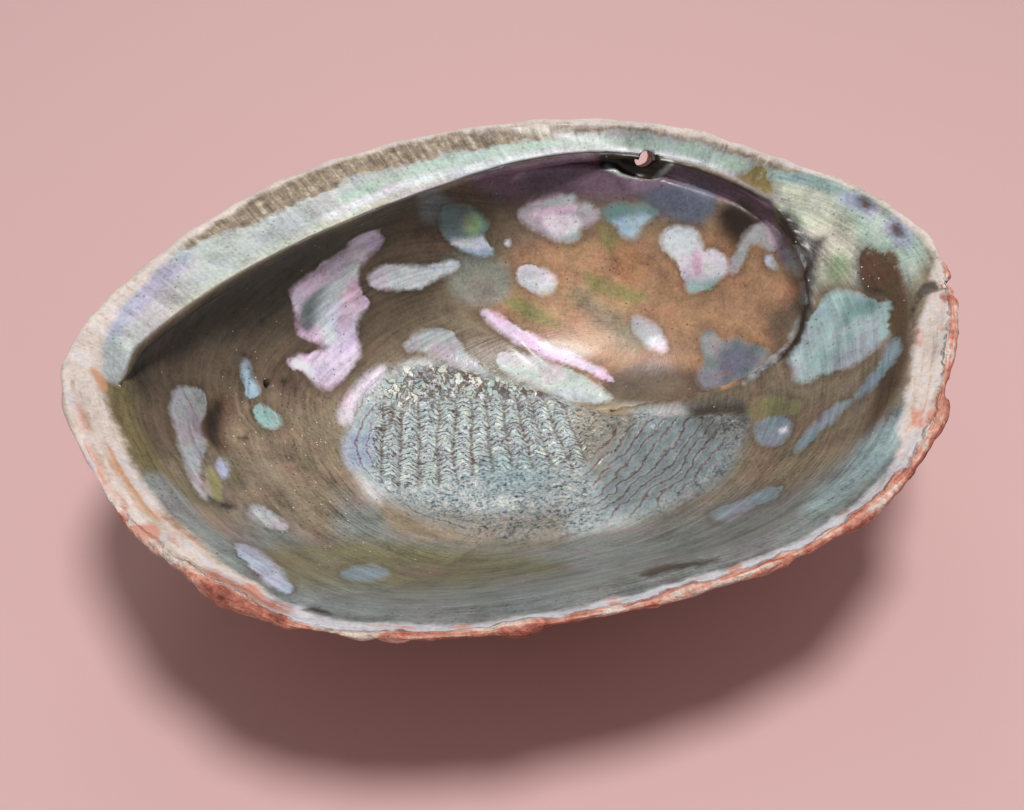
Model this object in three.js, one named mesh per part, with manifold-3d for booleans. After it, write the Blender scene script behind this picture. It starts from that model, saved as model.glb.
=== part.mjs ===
import * as THREE from "three";
import { mergeVertices } from "three/addons/utils/BufferGeometryUtils.js";
import Module from "manifold-3d";

// An abalone shell lying on its domed back with its hollow side up, in millimetres.
// +X runs to the spire end, +Y to the flat shelf along the inner lip, and +Z is up.

// Places that the shape is drawn around, in plan
const POLE = [45, 32];
const BOWL = [-3, 10];
const SPIRE = [58, 24];
const TO_ORIGIN = [0.3, -0.8];

// Crest of the rim, anticlockwise from the spire end: x, y, z
const RIM = [
  [94, 4, 54], [88, 24, 54], [75, 39.5, 54], [58, 56.8, 54], [36, 68.2, 54], [11, 72.3, 54.5],
  [-15, 70, 55], [-39, 63.5, 55], [-60, 52, 55], [-77, 37, 55], [-89, 22, 55.5], [-94.8, 6, 55.5],
  [-92, -13, 54.5], [-84, -33, 52.5], [-72, -48.5, 51], [-58, -61.5, 50.5], [-37, -69, 50],
  [-13, -72, 50], [11, -71.5, 50], [34, -68, 50], [54, -60, 51], [68.5, -48.5, 52.5],
  [80.5, -32, 53.5], [90, -15, 54],
];

// Edge of the shelf, from the front left of the rim round the back, then coiling in under the
// spire to its tail: x, y, z, how far the wall is cut back under it, how deep its face drops
const LEDGE = [
  [-87, 5, 52.5, 0, 0], [-78, 16.5, 52, 3, 4], [-63, 29, 52, 6, 5], [-43, 40.5, 52, 6, 5],
  [-18, 50, 52, 6, 5], [9, 58.5, 51, 6, 5], [35, 60.2, 49.5, 6, 5], [54, 52, 48.5, 6, 5.5],
  [66, 38, 48, 6, 6], [71, 26.5, 45.5, 6, 7], [71.3, 15, 41, 6, 6.5], [67, 4.3, 34, 4, 5.5],
  [59, 0.8, 26.5, 2.5, 4.5], [45, 5.5, 15.8, 1.2, 3], [31, 12, 8.8, 0.3, 1.2], [23, 16.5, 7, 0, 0],
];

// Outline of the muscle scar in plan, anticlockwise
const SCAR = [
  [49, -8], [36, 4], [24, 14], [12, 25], [0, 33], [-15, 38], [-29, 33], [-41, 14],
  [-32, -7], [-9, -24], [19, -26], [39, -22],
];
const SCAR_MIDDLE = [2, 6];
const SCAR_RISE = 1.5;

// Walls: bearings are degrees about the bowl's middle, 0 at the spire end and 90 at the shelf
const STEEPNESS = [[-90, 1.7], [-25, 2.0], [10, 2.5], [50, 3.1], [90, 3.0], [150, 2.5], [195, 1.9]];
const BULGE = [[-90, 0.3], [-10, 0.8], [45, 4.0], [90, 3.0], [150, 2.2], [200, 0.5]];
const STEEPER_INSIDE = 0.25;
const FLAT_SHARE = 0.18;
const FLOOR_SHARE = 0.08;
const FLOOR_THICKNESS = 4.6;
const LEAST_WALL = 3;
const WALL_GAIN = 0.12;
const SPIRE_SWELL = 5.5;
const SPIRE_REACH = 20;
const MOST_SWELL_SHARE = 0.45;
const CAVITY = { x: 54, y: 27, depth: 6.5, across: 24, along: 22 };
const CAVITY_BLEND = 1.5;

// Lip: its inner bevel, and where its round crest starts and ends across the rim
const LIP_WIDTH = 4;
const LIP_BEVEL = 0.5;
const BEVEL_BLEND = 2;
const CREST_INSET = 0.9;
const CREST_ROUND = 4;
const OUTER_INSET = 1.4;

// Ledge: how it fades out at its ends (degrees), its rounded tip, and the wall that curves under it
const HEAD_FADE = 4;
const TAIL_FADE = 25;
const RAMP_FROM = -75;
const RAMP_TO = -5;
const LEAST_DROP = 0.3;
const TIP_RADIUS = 1.1;
const TIP_SHARE = 0.32;
const WALL_FOOT = 17;
const WALL_BEND = 2.4;
const WALL_TOP_SHARE = 0.6;
const WALL_CAP_FROM = 0.7;
const WALL_CAP_TO = 0.95;
const LEDGE_SETTLE = 10;
const RAMP_BEND = 1.6;
const RAMP_STRAIGHT_SHARE = 0.35;

// Row of breathing holes along the shoulder, oldest first: x, y, and how far its collar stands out
const COLLARS = [
  [66, 33, 1.0], [63, 46, 1.4], [53, 56, 2.0], [30, 63, 2.2], [6, 64, 2.4], [-17, 61, 2.5],
  [-40, 51, 2.6], [-59, 34, 2.7], [-72, 14, 2.6],
];
const COLLAR_RADIUS = 6.5;
const DRILL_LENGTH = 34;
const DRILL_START = -3;
const DRILL_SIDES = 12;
const OPEN_HOLE = { at: [46.5, 61.5, 44], toward: [0.05, 1, -0.5], radius: 2.6 };
const SLIT_HOLE = { at: [-57, 27, 23], toward: [-0.75, 0.55, -0.75], radius: 1.3 };
const PIT = { x: -67.3, y: 10.6, radius: 5, depth: 2 };

// Lumps of old crust on the outside of the lip: x, y, height, reach
const LIP_LUMPS = [
  [-81, -38, 1.0, 8], [-70, -53, 1.5, 8], [24, -72, 0.9, 8], [48, -66, 1.0, 8], [71, -49, 1.2, 7],
];

// Relief: wavelengths and heights of the growth ridges, the spire's coil and the slow waves
const GROWTH = { pitch: 13, height: 0.55, bend: 2, bendWave: 55 };
const COIL = { core: 6, growth: 2.6, height: 1.1, from: 42, to: 14 };
const OUTSIDE_WAVE = { length: 17, height: 0.5 };
const INSIDE_WAVE = { length: 30, height: 0.45 };
const SCAR_WAVE = { length: 11, height: 0.5 };
const LIP_WAVE = { length: 9, height: 0.4 };
const SCAR_EDGE = { from: 1.06, to: 0.88 };
const RELIEF_MARGIN = { from: 1, to: 6 };
const BASE_MARGIN = { from: 0.5, to: 5 };
const LUMP_HEIGHTS = { from: 34, to: 44 };

// Mesh
const COLUMNS = 92;
const STEP = 5.1;
const PROFILE_SAMPLES = 240;
const CURVE_SAMPLES = 1440;
const LEDGE_SAMPLES = 1200;
const ROOM_SAMPLES = 24;
const ROUND_STEPS = 3;

const TURN = 2 * Math.PI;
const radians = (degrees) => degrees * Math.PI / 180;

function smooth(from, to, value) {
  const t = Math.min(1, Math.max(0, (value - from) / (to - from)));
  return t * t * (3 - 2 * t);
}

function softMin(a, b, blend) {
  const h = Math.min(1, Math.max(0, 0.5 + 0.5 * (b - a) / blend));
  return b + (a - b) * h - blend * h * (1 - h);
}

const softMax = (a, b, blend) => -softMin(-a, -b, blend);
const hump = (distance, reach) => Math.exp(-((distance / reach) ** 2));

// Points along a smooth curve through hand-set points
function spline(points, count, closed) {
  const spans = closed ? points.length : points.length - 1;
  const pick = (i) => closed
    ? points[(i + points.length) % points.length]
    : points[Math.min(points.length - 1, Math.max(0, i))];
  return Array.from({ length: count }, (_, n) => {
    const t = spans * n / (closed ? count : count - 1);
    const i = Math.min(Math.floor(t), spans - 1);
    const f = t - i;
    const [a, b, c, d] = [pick(i - 1), pick(i), pick(i + 1), pick(i + 2)];
    return b.map((_, k) => b[k] + 0.5 * f * (c[k] - a[k]
      + f * (2 * a[k] - 5 * b[k] + 4 * c[k] - d[k] + f * (3 * (b[k] - c[k]) + d[k] - a[k]))));
  });
}

// Value at x of the rows [x, ...values], whose x rises
function lookUp(rows, x) {
  let low = 0;
  let high = rows.length - 1;
  while (high - low > 1) {
    const middle = (low + high) >> 1;
    if (rows[middle][0] <= x) low = middle;
    else high = middle;
  }
  const t = Math.min(1, Math.max(0, (x - rows[low][0]) / (rows[high][0] - rows[low][0])));
  return rows[low].map((value, k) => value + (rows[high][k] - value) * t);
}

// A closed outline as a function of bearing about a middle point: [bearing, distance, height]
function outlineAround(points, middle) {
  const rows = spline(points, CURVE_SAMPLES, true).map((p) => [
    Math.atan2(p[1] - middle[1], p[0] - middle[0]),
    Math.hypot(p[0] - middle[0], p[1] - middle[1]),
    p[2] ?? 0,
  ]);
  rows.sort((a, b) => a[0] - b[0]);
  const first = rows[0];
  const last = rows[rows.length - 1];
  rows.unshift([last[0] - TURN, last[1], last[2]]);
  rows.push([first[0] + TURN, first[1], first[2]]);
  return (bearing) => lookUp(rows, bearing);
}

// Smooth value between knots [degrees, value] set round a full turn
function aroundTurn(knots, bearing) {
  const start = knots[0][0];
  const degrees = ((bearing * 180 / Math.PI - start) % 360 + 360) % 360 + start;
  const ring = [...knots, [start + 360, knots[0][1]]];
  const i = ring.findLastIndex((knot) => knot[0] <= degrees);
  const [from, to] = [ring[i], ring[i + 1] ?? ring[i]];
  return from === to ? from[1] : from[1] + (to[1] - from[1]) * smooth(from[0], to[0], degrees);
}

const rimAround = outlineAround(RIM, BOWL);
const scarAround = outlineAround(SCAR, SCAR_MIDDLE);

function fromBowl(x, y) {
  const bearing = Math.atan2(y - BOWL[1], x - BOWL[0]);
  const [, rimDistance, rimHeight] = rimAround(bearing);
  return { bearing, rimDistance, rimHeight, distance: Math.hypot(x - BOWL[0], y - BOWL[1]) };
}

// Height of the smooth outside, a dome on its back with a small flat that the shell lies on
function outside(x, y) {
  const { bearing, rimDistance, rimHeight, distance } = fromBowl(x, y);
  const share = distance / (rimDistance + aroundTurn(BULGE, bearing));
  const climb = Math.max(0, (share - FLAT_SHARE) / (1 - FLAT_SHARE));
  const dome = rimHeight * climb ** aroundTurn(STEEPNESS, bearing);
  const swell = SPIRE_SWELL * hump(Math.hypot(x - SPIRE[0], y - SPIRE[1]), SPIRE_REACH);
  return dome - Math.min(swell, MOST_SWELL_SHARE * dome);
}

// Lowest that the inside may be over the outside
function leastInside(x, y) {
  const z = outside(x, y);
  return z + LEAST_WALL + WALL_GAIN * z;
}

// Height of the inside: a bowl, deeper under the spire, up to the bevelled inner side of the lip
function inside(x, y) {
  const { bearing, rimDistance, rimHeight, distance } = fromBowl(x, y);
  const share = distance / (rimDistance - LIP_WIDTH);
  const climb = Math.max(0, (share - FLOOR_SHARE) / (1 - FLOOR_SHARE));
  const steepness = aroundTurn(STEEPNESS, bearing) + STEEPER_INSIDE;
  const bowl = FLOOR_THICKNESS + (rimHeight - FLOOR_THICKNESS) * climb ** steepness;
  const deep = CAVITY.depth * Math.exp(-(((x - CAVITY.x) / CAVITY.across) ** 2)
    - (((y - CAVITY.y) / CAVITY.along) ** 2));
  const bevel = rimHeight - LIP_BEVEL * Math.max(0, rimDistance - distance);
  return softMin(softMax(bowl - deep, leastInside(x, y), CAVITY_BLEND), bevel, BEVEL_BLEND);
}

// The ledge as rows [bearing about the pole, distance, z, undercut, drop], bearings rising
const ledgeRows = spline(LEDGE, LEDGE_SAMPLES, false).map(([x, y, ...rest]) => [
  Math.atan2(y - POLE[1], x - POLE[0]), Math.hypot(x - POLE[0], y - POLE[1]), ...rest,
]).reverse();
for (let i = 1; i < ledgeRows.length; i += 1) {
  while (ledgeRows[i][0] < ledgeRows[i - 1][0]) ledgeRows[i][0] += TURN;
}
const LEDGE_TAIL = ledgeRows[0];
const LEDGE_HEAD = ledgeRows[ledgeRows.length - 1];

// The ledge at a bearing about the pole, or null where the bowl runs smoothly up to the rim
function ledgeAt(bearing) {
  const angle = ((bearing - LEDGE_TAIL[0]) % TURN + TURN) % TURN + LEDGE_TAIL[0];
  if (angle > LEDGE_HEAD[0]) return null;
  const [, distance, height, undercut, drop] = lookUp(ledgeRows, angle);
  const fromHead = LEDGE_HEAD[0] - angle;
  const fromTail = angle - LEDGE_TAIL[0];
  const strength = smooth(0, radians(HEAD_FADE), fromHead) * smooth(0, radians(TAIL_FADE), fromTail);
  if (drop * strength < LEAST_DROP) return null;
  const low = inside(POLE[0] + distance * Math.cos(bearing), POLE[1] + distance * Math.sin(bearing));
  return {
    distance,
    z: low + (height - low) * strength,
    undercut: undercut * strength,
    drop: drop * strength,
    strength,
    ramp: smooth(radians(RAMP_FROM), radians(RAMP_TO), angle) * smooth(0, radians(HEAD_FADE + 1), fromHead),
  };
}

// A profile [distance, z] cut into about equal steps
function evenSteps(profile) {
  const along = [0];
  for (let i = 1; i < profile.length; i += 1) {
    const [from, to] = [profile[i - 1], profile[i]];
    along.push(along[i - 1] + Math.hypot(to[0] - from[0], to[1] - from[1]));
  }
  const total = along[along.length - 1];
  const count = Math.max(2, Math.ceil(total / STEP));
  const rows = profile.map((p, i) => [along[i], ...p]);
  return Array.from({ length: count + 1 }, (_, i) => lookUp(rows, total * i / count).slice(1));
}

function bezier(points) {
  const curve = new THREE.CubicBezierCurve(...points.map((p) => new THREE.Vector2(...p)));
  return curve.getPoints(ROUND_STEPS).map((p) => [p.x, p.y]);
}

function range(from, to, count = PROFILE_SAMPLES) {
  return Array.from({ length: count + 1 }, (_, i) => from + (to - from) * i / count);
}

// How far the wall under the ledge can go back before the shell gets too thin
function roomUnder(ledge, at) {
  for (const r of range(ledge.distance, ledge.distance + ledge.undercut, ROOM_SAMPLES)) {
    if (leastInside(...at(r)) > ledge.z - ledge.drop - 1) {
      return Math.max(0, r - ledge.distance - ledge.undercut / ROOM_SAMPLES);
    }
  }
  return ledge.undercut;
}

// Inside, from the pole out to the wall under the ledge
function wallProfile(ledge, wallAt, at) {
  const cap = ledge.z - ledge.drop;
  const rise = Math.max(0, cap - WALL_TOP_SHARE * ledge.drop - inside(...at(wallAt)));
  return range(0, wallAt).map((r) => {
    const z = inside(...at(r)) + rise * Math.max(0, (r - wallAt + WALL_FOOT) / WALL_FOOT) ** WALL_BEND;
    const capped = softMin(z, cap, CAVITY_BLEND * ledge.strength);
    return [r, z + (capped - z) * smooth(WALL_CAP_FROM, WALL_CAP_TO, r / wallAt)];
  });
}

// Underside and round edge of the ledge
function edgeProfile(ledge, [wallAt, wallZ]) {
  const tip = Math.min(TIP_RADIUS, TIP_SHARE * ledge.drop);
  const back = wallAt - ledge.distance;
  const [x, z] = [ledge.distance + tip, ledge.z - tip];
  const under = bezier([
    [wallAt, wallZ],
    [wallAt + 0.2 * back, wallZ + 0.7 * (z - tip - wallZ)],
    [x + 0.6 * back, z - tip],
    [x, z - tip],
  ]);
  return [...under, [x - tip, z], [x, z + tip]];
}

// Top, from the ledge to the crest of the rim
function topProfile(ledge, [edgeAt, edgeZ], crestAt, rimZ, at) {
  const edgeInside = inside(...at(edgeAt));
  const height = (r) => {
    const share = (r - edgeAt) / (crestAt - edgeAt);
    const rise = RAMP_STRAIGHT_SHARE * share + (1 - RAMP_STRAIGHT_SHARE) * share ** RAMP_BEND;
    const ramp = edgeZ + (rimZ - edgeZ) * rise;
    const settle = inside(...at(r)) + (edgeZ - edgeInside) * Math.exp((edgeAt - r) / LEDGE_SETTLE);
    return ledge.ramp * ramp + (1 - ledge.ramp) * settle;
  };
  const gap = rimZ - height(crestAt);
  const round = (r) => gap * smooth(crestAt - CREST_ROUND, crestAt, r);
  return range(edgeAt, crestAt).map((r) => [r, height(r) + round(r)]);
}

// Inside of a column without a ledge, from the pole to the crest of the rim
function bowlProfile(crestAt, rimZ, at) {
  const gap = rimZ - inside(...at(crestAt));
  const round = (r) => gap * smooth(crestAt - CREST_ROUND, crestAt, r);
  return range(0, crestAt).map((r) => [r, inside(...at(r)) + round(r)]);
}

// Inside of a column: the wall, the ledge's edge and the top where there is a ledge, else the bowl
function innerProfiles(ledge, crestAt, rimZ, at) {
  if (!ledge) return [evenSteps(bowlProfile(crestAt, rimZ, at))];
  const wall = evenSteps(wallProfile(ledge, ledge.distance + roomUnder(ledge, at), at));
  const edge = edgeProfile(ledge, wall[wall.length - 1]);
  return [wall, edge, evenSteps(topProfile(ledge, edge[edge.length - 1], crestAt, rimZ, at))];
}

// One column of the shell, from the inner pole over the rim to the outer pole
function column([rimX, rimY, rimZ]) {
  const rimAt = Math.hypot(rimX - POLE[0], rimY - POLE[1]);
  const [ux, uy] = [(rimX - POLE[0]) / rimAt, (rimY - POLE[1]) / rimAt];
  const at = (r) => [POLE[0] + ux * r, POLE[1] + uy * r];
  const place = (profile) => profile.map(([r, z]) => [...at(r), z]);
  const crestAt = rimAt - CREST_INSET;
  const bulge = aroundTurn(BULGE, Math.atan2(rimY - BOWL[1], rimX - BOWL[0]));
  const outerAt = rimAt + bulge - OUTER_INSET;
  const lip = bezier([
    [crestAt, rimZ], [rimAt + 0.3 * bulge + 0.6, rimZ + 0.1], [rimAt + bulge + 0.3, rimZ - 1.2],
    [outerAt, outside(...at(outerAt))],
  ]);
  return {
    inner: innerProfiles(ledgeAt(Math.atan2(uy, ux)), crestAt, rimZ, at).map(place),
    lip: place(lip),
    outer: place(evenSteps(range(outerAt, 0).map((r) => [r, outside(...at(r))]))),
  };
}

// Rim points at equal distances along the crest
function rimPoints() {
  const dense = spline(RIM, CURVE_SAMPLES, true);
  dense.push(dense[0]);
  const rows = [];
  let along = 0;
  dense.forEach((p, i) => {
    if (i > 0) along += Math.hypot(p[0] - dense[i - 1][0], p[1] - dense[i - 1][1]);
    rows.push([along, ...p]);
  });
  return Array.from({ length: COLUMNS }, (_, i) => lookUp(rows, along * i / COLUMNS).slice(1));
}

// Triangles between two runs of points, each with its own rising shares from 0 to 1
function stitch(p, q, sharesP, sharesQ, triangles) {
  const triangle = (a, b, c) => {
    if (a !== b && b !== c && c !== a) triangles.push(a, b, c);
  };
  let i = 0;
  let j = 0;
  while (i < p.length - 1 || j < q.length - 1) {
    if (j === q.length - 1 || (i < p.length - 1 && sharesP[i + 1] <= sharesQ[j + 1])) {
      triangle(p[i], p[i + 1], q[j]);
      i += 1;
    } else {
      triangle(p[i], q[j + 1], q[j]);
      j += 1;
    }
  }
}

// Closed mesh of the smooth shell. Neighbouring columns are joined section by section, or by
// their distance from the pole where one of them has no ledge.
function smoothShell() {
  const points = [];
  const sections = [];
  const triangles = [];
  const add = (p, section) => {
    sections.push(section);
    return points.push(p) - 1;
  };
  const innerPole = add([...POLE, inside(...POLE)], "inner");
  const outerPole = add([...POLE, outside(...POLE)], "outer");
  const columns = rimPoints().map(column).map(({ inner, lip, outer }) => {
    let last = innerPole;
    const run = (profile, section) => {
      const ids = [last, ...profile.slice(1).map((p) => add(p, section))];
      last = ids[ids.length - 1];
      return ids;
    };
    const innerRuns = inner.map((profile) => run(profile, "inner"));
    const lipRun = run(lip, "lip");
    return { innerRuns, lipRun, outerRun: [...run(outer.slice(0, -1), "outer"), outerPole] };
  });
  const evenShares = (run) => run.map((_, i) => i / (run.length - 1));
  const reachShares = (run) => {
    const reach = run.map((id) => Math.hypot(points[id][0] - POLE[0], points[id][1] - POLE[1]));
    return reach.map((value) => value / reach[reach.length - 1]);
  };
  const joinEven = (p, q) => stitch(p, q, evenShares(p), evenShares(q), triangles);
  const whole = (runs) => runs.flatMap((run, i) => (i === 0 ? run : run.slice(1)));
  columns.forEach((here, k) => {
    const next = columns[(k + 1) % COLUMNS];
    if (here.innerRuns.length === next.innerRuns.length && here.innerRuns.length > 1) {
      here.innerRuns.forEach((run, i) => joinEven(run, next.innerRuns[i]));
    } else {
      const [p, q] = [whole(here.innerRuns), whole(next.innerRuns)];
      stitch(p, q, reachShares(p), reachShares(q), triangles);
    }
    joinEven(here.lipRun, next.lipRun);
    joinEven(here.outerRun, next.outerRun);
  });
  return { points, sections, triangles };
}

// Slow wobble between -1 and 1, made of crossing waves
function wobble(x, y, wavelength, seed) {
  let sum = 0;
  for (let i = 0; i < 4; i += 1) {
    const heading = seed + i * 2.4;
    const stretch = TURN / (wavelength * (1 + 0.23 * i));
    sum += Math.sin((x * Math.cos(heading) + y * Math.sin(heading)) * stretch + seed * (i + 1.7));
  }
  return sum / 4;
}

// Relief of the inside: the raised muscle scar, its lumps, and the pit by the left wall
function insideRelief(x, y) {
  const bearing = Math.atan2(y - SCAR_MIDDLE[1], x - SCAR_MIDDLE[0]);
  const share = Math.hypot(x - SCAR_MIDDLE[0], y - SCAR_MIDDLE[1]) / scarAround(bearing)[1];
  const scar = smooth(SCAR_EDGE.from, SCAR_EDGE.to, share);
  const pit = hump(Math.hypot(x - PIT.x, y - PIT.y), PIT.radius);
  const lumps = SCAR_RISE + SCAR_WAVE.height * wobble(x, y, SCAR_WAVE.length, 1);
  return scar * lumps + INSIDE_WAVE.height * wobble(x, y, INSIDE_WAVE.length, 2) - PIT.depth * pit;
}

// Relief of the outside: growth ridges, the spire's coil, the collars of the holes, old crust
function outsideRelief(x, y, z) {
  const away = Math.hypot(x - SPIRE[0], y - SPIRE[1]);
  const bearing = Math.atan2(y - SPIRE[1], x - SPIRE[0]);
  const growth = Math.sin(away * TURN / GROWTH.pitch + GROWTH.bend * wobble(x, y, GROWTH.bendWave, 3));
  const coil = Math.cos(2 * TURN * Math.log(1 + away / COIL.core) / COIL.growth - bearing);
  const coilReach = smooth(COIL.from, COIL.to, away);
  let relief = GROWTH.height * growth * (1 - coilReach) + COIL.height * coil * coilReach;
  relief += OUTSIDE_WAVE.height * wobble(x, y, OUTSIDE_WAVE.length, 4);
  for (const [cx, cy, height] of COLLARS) {
    relief += height * hump(Math.hypot(x - cx, y - cy), COLLAR_RADIUS);
  }
  return relief * smooth(BASE_MARGIN.from, BASE_MARGIN.to, z);
}

function lipLumps(x, y) {
  return LIP_LUMPS.reduce((sum, [cx, cy, height, reach]) =>
    sum + height * hump(Math.hypot(x - cx, y - cy), reach), 0);
}

// How far a point of the smooth shell moves out along its normal
function relief([x, y, z], section) {
  if (section === "outer") {
    return outsideRelief(x, y, z) + lipLumps(x, y) * smooth(LUMP_HEIGHTS.from, LUMP_HEIGHTS.to, z);
  }
  if (section === "lip") return LIP_WAVE.height * wobble(x, y, LIP_WAVE.length, 5) + lipLumps(x, y);
  const { distance, rimDistance } = fromBowl(x, y);
  return insideRelief(x, y) * smooth(RELIEF_MARGIN.from, RELIEF_MARGIN.to, rimDistance - distance);
}

function toGeometry(points, triangles) {
  const geometry = new THREE.BufferGeometry();
  geometry.setAttribute("position", new THREE.BufferAttribute(new Float32Array(points.flat()), 3));
  geometry.setIndex(triangles);
  return geometry;
}

function carvedShell() {
  const { points, sections, triangles } = smoothShell();
  const geometry = toGeometry(points, triangles);
  geometry.computeVertexNormals();
  const normals = geometry.getAttribute("normal").array;
  const moved = points.map((p, i) => {
    const lift = relief(p, sections[i]);
    const [x, y, z] = p.map((value, k) => value + normals[3 * i + k] * lift);
    return [x + TO_ORIGIN[0], y + TO_ORIGIN[1], Math.max(0, z)];
  });
  return toGeometry(moved, triangles);
}

// Drill for a breathing hole, from just inside the wall out through it
function drill({ at, toward, radius }) {
  const geometry = new THREE.CylinderGeometry(radius, radius, DRILL_LENGTH, DRILL_SIDES);
  const direction = new THREE.Vector3(...toward).normalize();
  const axis = new THREE.Vector3(0, 1, 0);
  geometry.applyQuaternion(new THREE.Quaternion().setFromUnitVectors(axis, direction));
  const middle = direction.multiplyScalar(DRILL_LENGTH / 2 + DRILL_START).add(new THREE.Vector3(...at));
  geometry.translate(middle.x + TO_ORIGIN[0], middle.y + TO_ORIGIN[1], middle.z);
  geometry.deleteAttribute("normal");
  geometry.deleteAttribute("uv");
  return mergeVertices(geometry);
}

const wasm = await Module();
wasm.setup();

function toSolid(geometry) {
  return new wasm.Manifold(new wasm.Mesh({
    numProp: 3,
    vertProperties: new Float32Array(geometry.getAttribute("position").array),
    triVerts: new Uint32Array(geometry.getIndex().array),
  }));
}

function shell() {
  let solid = toSolid(carvedShell());
  for (const hole of [OPEN_HOLE, SLIT_HOLE]) solid = solid.subtract(toSolid(drill(hole)));
  const { vertProperties, triVerts } = solid.getMesh();
  const geometry = new THREE.BufferGeometry();
  geometry.setAttribute("position", new THREE.BufferAttribute(vertProperties, 3));
  geometry.setIndex(new THREE.BufferAttribute(triVerts, 1));
  geometry.computeVertexNormals();
  const material = new THREE.MeshStandardMaterial({ color: 0x9c9a88, roughness: 0.4, metalness: 0 });
  const mesh = new THREE.Mesh(geometry, material);
  mesh.name = "shell";
  return mesh;
}

const part = new THREE.Group();
part.add(shell());

export default part;
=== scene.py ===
import math
from types import SimpleNamespace

import bpy
import numpy as np
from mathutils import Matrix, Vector, kdtree, noise


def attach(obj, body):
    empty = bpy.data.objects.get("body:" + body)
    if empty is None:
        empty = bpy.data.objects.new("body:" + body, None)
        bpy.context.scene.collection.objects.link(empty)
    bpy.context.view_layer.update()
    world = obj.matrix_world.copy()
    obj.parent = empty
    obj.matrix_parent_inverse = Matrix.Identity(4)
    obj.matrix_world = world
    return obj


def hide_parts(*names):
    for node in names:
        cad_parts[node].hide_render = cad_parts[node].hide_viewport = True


# An abalone shell lying hollow side up. The CAD frame gives its place and main form, and this
# script rebuilds the same form with a finer surface. Its shape is worked out in millimetres.
MM = 0.001

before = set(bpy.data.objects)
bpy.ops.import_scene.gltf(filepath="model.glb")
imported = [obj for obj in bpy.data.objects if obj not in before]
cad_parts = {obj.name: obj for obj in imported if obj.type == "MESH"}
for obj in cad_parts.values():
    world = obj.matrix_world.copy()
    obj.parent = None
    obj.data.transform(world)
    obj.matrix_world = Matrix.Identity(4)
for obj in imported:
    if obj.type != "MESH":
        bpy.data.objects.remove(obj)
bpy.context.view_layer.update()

# Places that the shape is drawn around, in plan
POLE = np.array((45.0, 32.0))
BOWL = np.array((-3.0, 10.0))
SPIRE = np.array((58.0, 24.0))
TO_ORIGIN = np.array((0.3, -0.8, 0.0))

# Crest of the rim, anticlockwise from the spire end: x, y, z
RIM = [
    (94, 4, 54), (88, 24, 54), (75, 39.5, 54), (58, 56.8, 54), (36, 68.2, 54), (11, 72.3, 54.5),
    (-15, 70, 55), (-39, 63.5, 55), (-60, 52, 55), (-77, 37, 55), (-89, 22, 55.5),
    (-94.8, 6, 55.5), (-92, -13, 54.5), (-84, -33, 52.5), (-72, -48.5, 51), (-58, -61.5, 50.5),
    (-37, -69, 50), (-13, -72, 50), (11, -71.5, 50), (34, -68, 50), (54, -60, 51),
    (68.5, -48.5, 52.5), (80.5, -32, 53.5), (90, -15, 54),
]

# Edge of the shelf, from the front left of the rim round the back, then coiling in under the
# spire to its tail: x, y, z, how far the wall is cut back under it, how deep its face drops
LEDGE = [
    (-87, 5, 52.5, 0, 0), (-78, 16.5, 52, 3, 4), (-63, 29, 52, 6, 5), (-43, 40.5, 52, 6, 5),
    (-18, 50, 52, 6, 5), (9, 58.5, 51, 6, 5), (35, 60.2, 49.5, 6, 5), (54, 52, 48.5, 6, 5.5),
    (66, 38, 48, 6, 6), (71, 26.5, 45.5, 6, 7), (71.3, 15, 41, 6, 6.5), (67, 4.3, 34, 4, 5.5),
    (59, 0.8, 26.5, 2.5, 4.5), (45, 5.5, 15.8, 1.2, 3), (31, 12, 8.8, 0.3, 1.2), (23, 16.5, 7, 0, 0),
]

# Outline of the muscle scar in plan, anticlockwise
SCAR = [
    (49, -8), (36, 4), (24, 14), (12, 25), (0, 33), (-15, 38), (-29, 33), (-41, 14),
    (-32, -7), (-9, -24), (19, -26), (39, -22),
]
SCAR_MIDDLE = np.array((2.0, 6.0))
SCAR_RISE = 1.5

# Walls: bearings are degrees about the bowl's middle, 0 at the spire end and 90 at the shelf
STEEPNESS = [(-90, 1.7), (-25, 2.0), (10, 2.5), (50, 3.1), (90, 3.0), (150, 2.5), (195, 1.9)]
BULGE = [(-90, 0.3), (-10, 0.8), (45, 4.0), (90, 3.0), (150, 2.2), (200, 0.5)]
FLAT_SHARE = 0.18
FLOOR_SHARE = 0.08
FLOOR_THICKNESS = 4.6
LIP_WIDTH = 4
LIP_BEVEL = 0.5
LEAST_WALL = 3
WALL_FOOT = 17
LEAST_DROP = 0.05
SPIRE_SWELL = 5.5
SPIRE_REACH = 20
CAVITY_AT = (54, 27)
CAVITY_REACH = (24, 22)
CAVITY_DEPTH = 6.5

# Row of breathing holes along the shoulder, oldest first: x, y, and how far its collar stands out
COLLARS = [
    (66, 33, 1.0), (63, 46, 1.4), (53, 56, 2.0), (30, 63, 2.2), (6, 64, 2.4), (-17, 61, 2.5),
    (-40, 51, 2.6), (-59, 34, 2.7), (-72, 14, 2.6),
]
COLLAR_RADIUS = 6.5
OPEN_HOLE = {"at": (47, 61.5, 45.4), "toward": (0.05, 1, -0.5), "radius": 2.3}
SLIT_HOLE = {"at": (-57, 27, 23), "toward": (-0.75, 0.55, -0.75), "radius": 1.3}
PIT_AT = (-67.3, 10.6)
PIT_RADIUS = 5
PIT_DEPTH = 2
LIP_LUMPS = [
    (-81, -38, 1.0, 8), (-70, -53, 1.5, 8), (24, -72, 0.9, 8), (48, -66, 1.0, 8), (71, -49, 1.2, 7),
]

# Fine mesh
COLUMNS = 450
INNER_STEP = 1.1
OUTER_STEP = 2.2
CURVE_SAMPLES = 1440
PROFILE_SAMPLES = 240

TURN = 2 * math.pi


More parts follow.
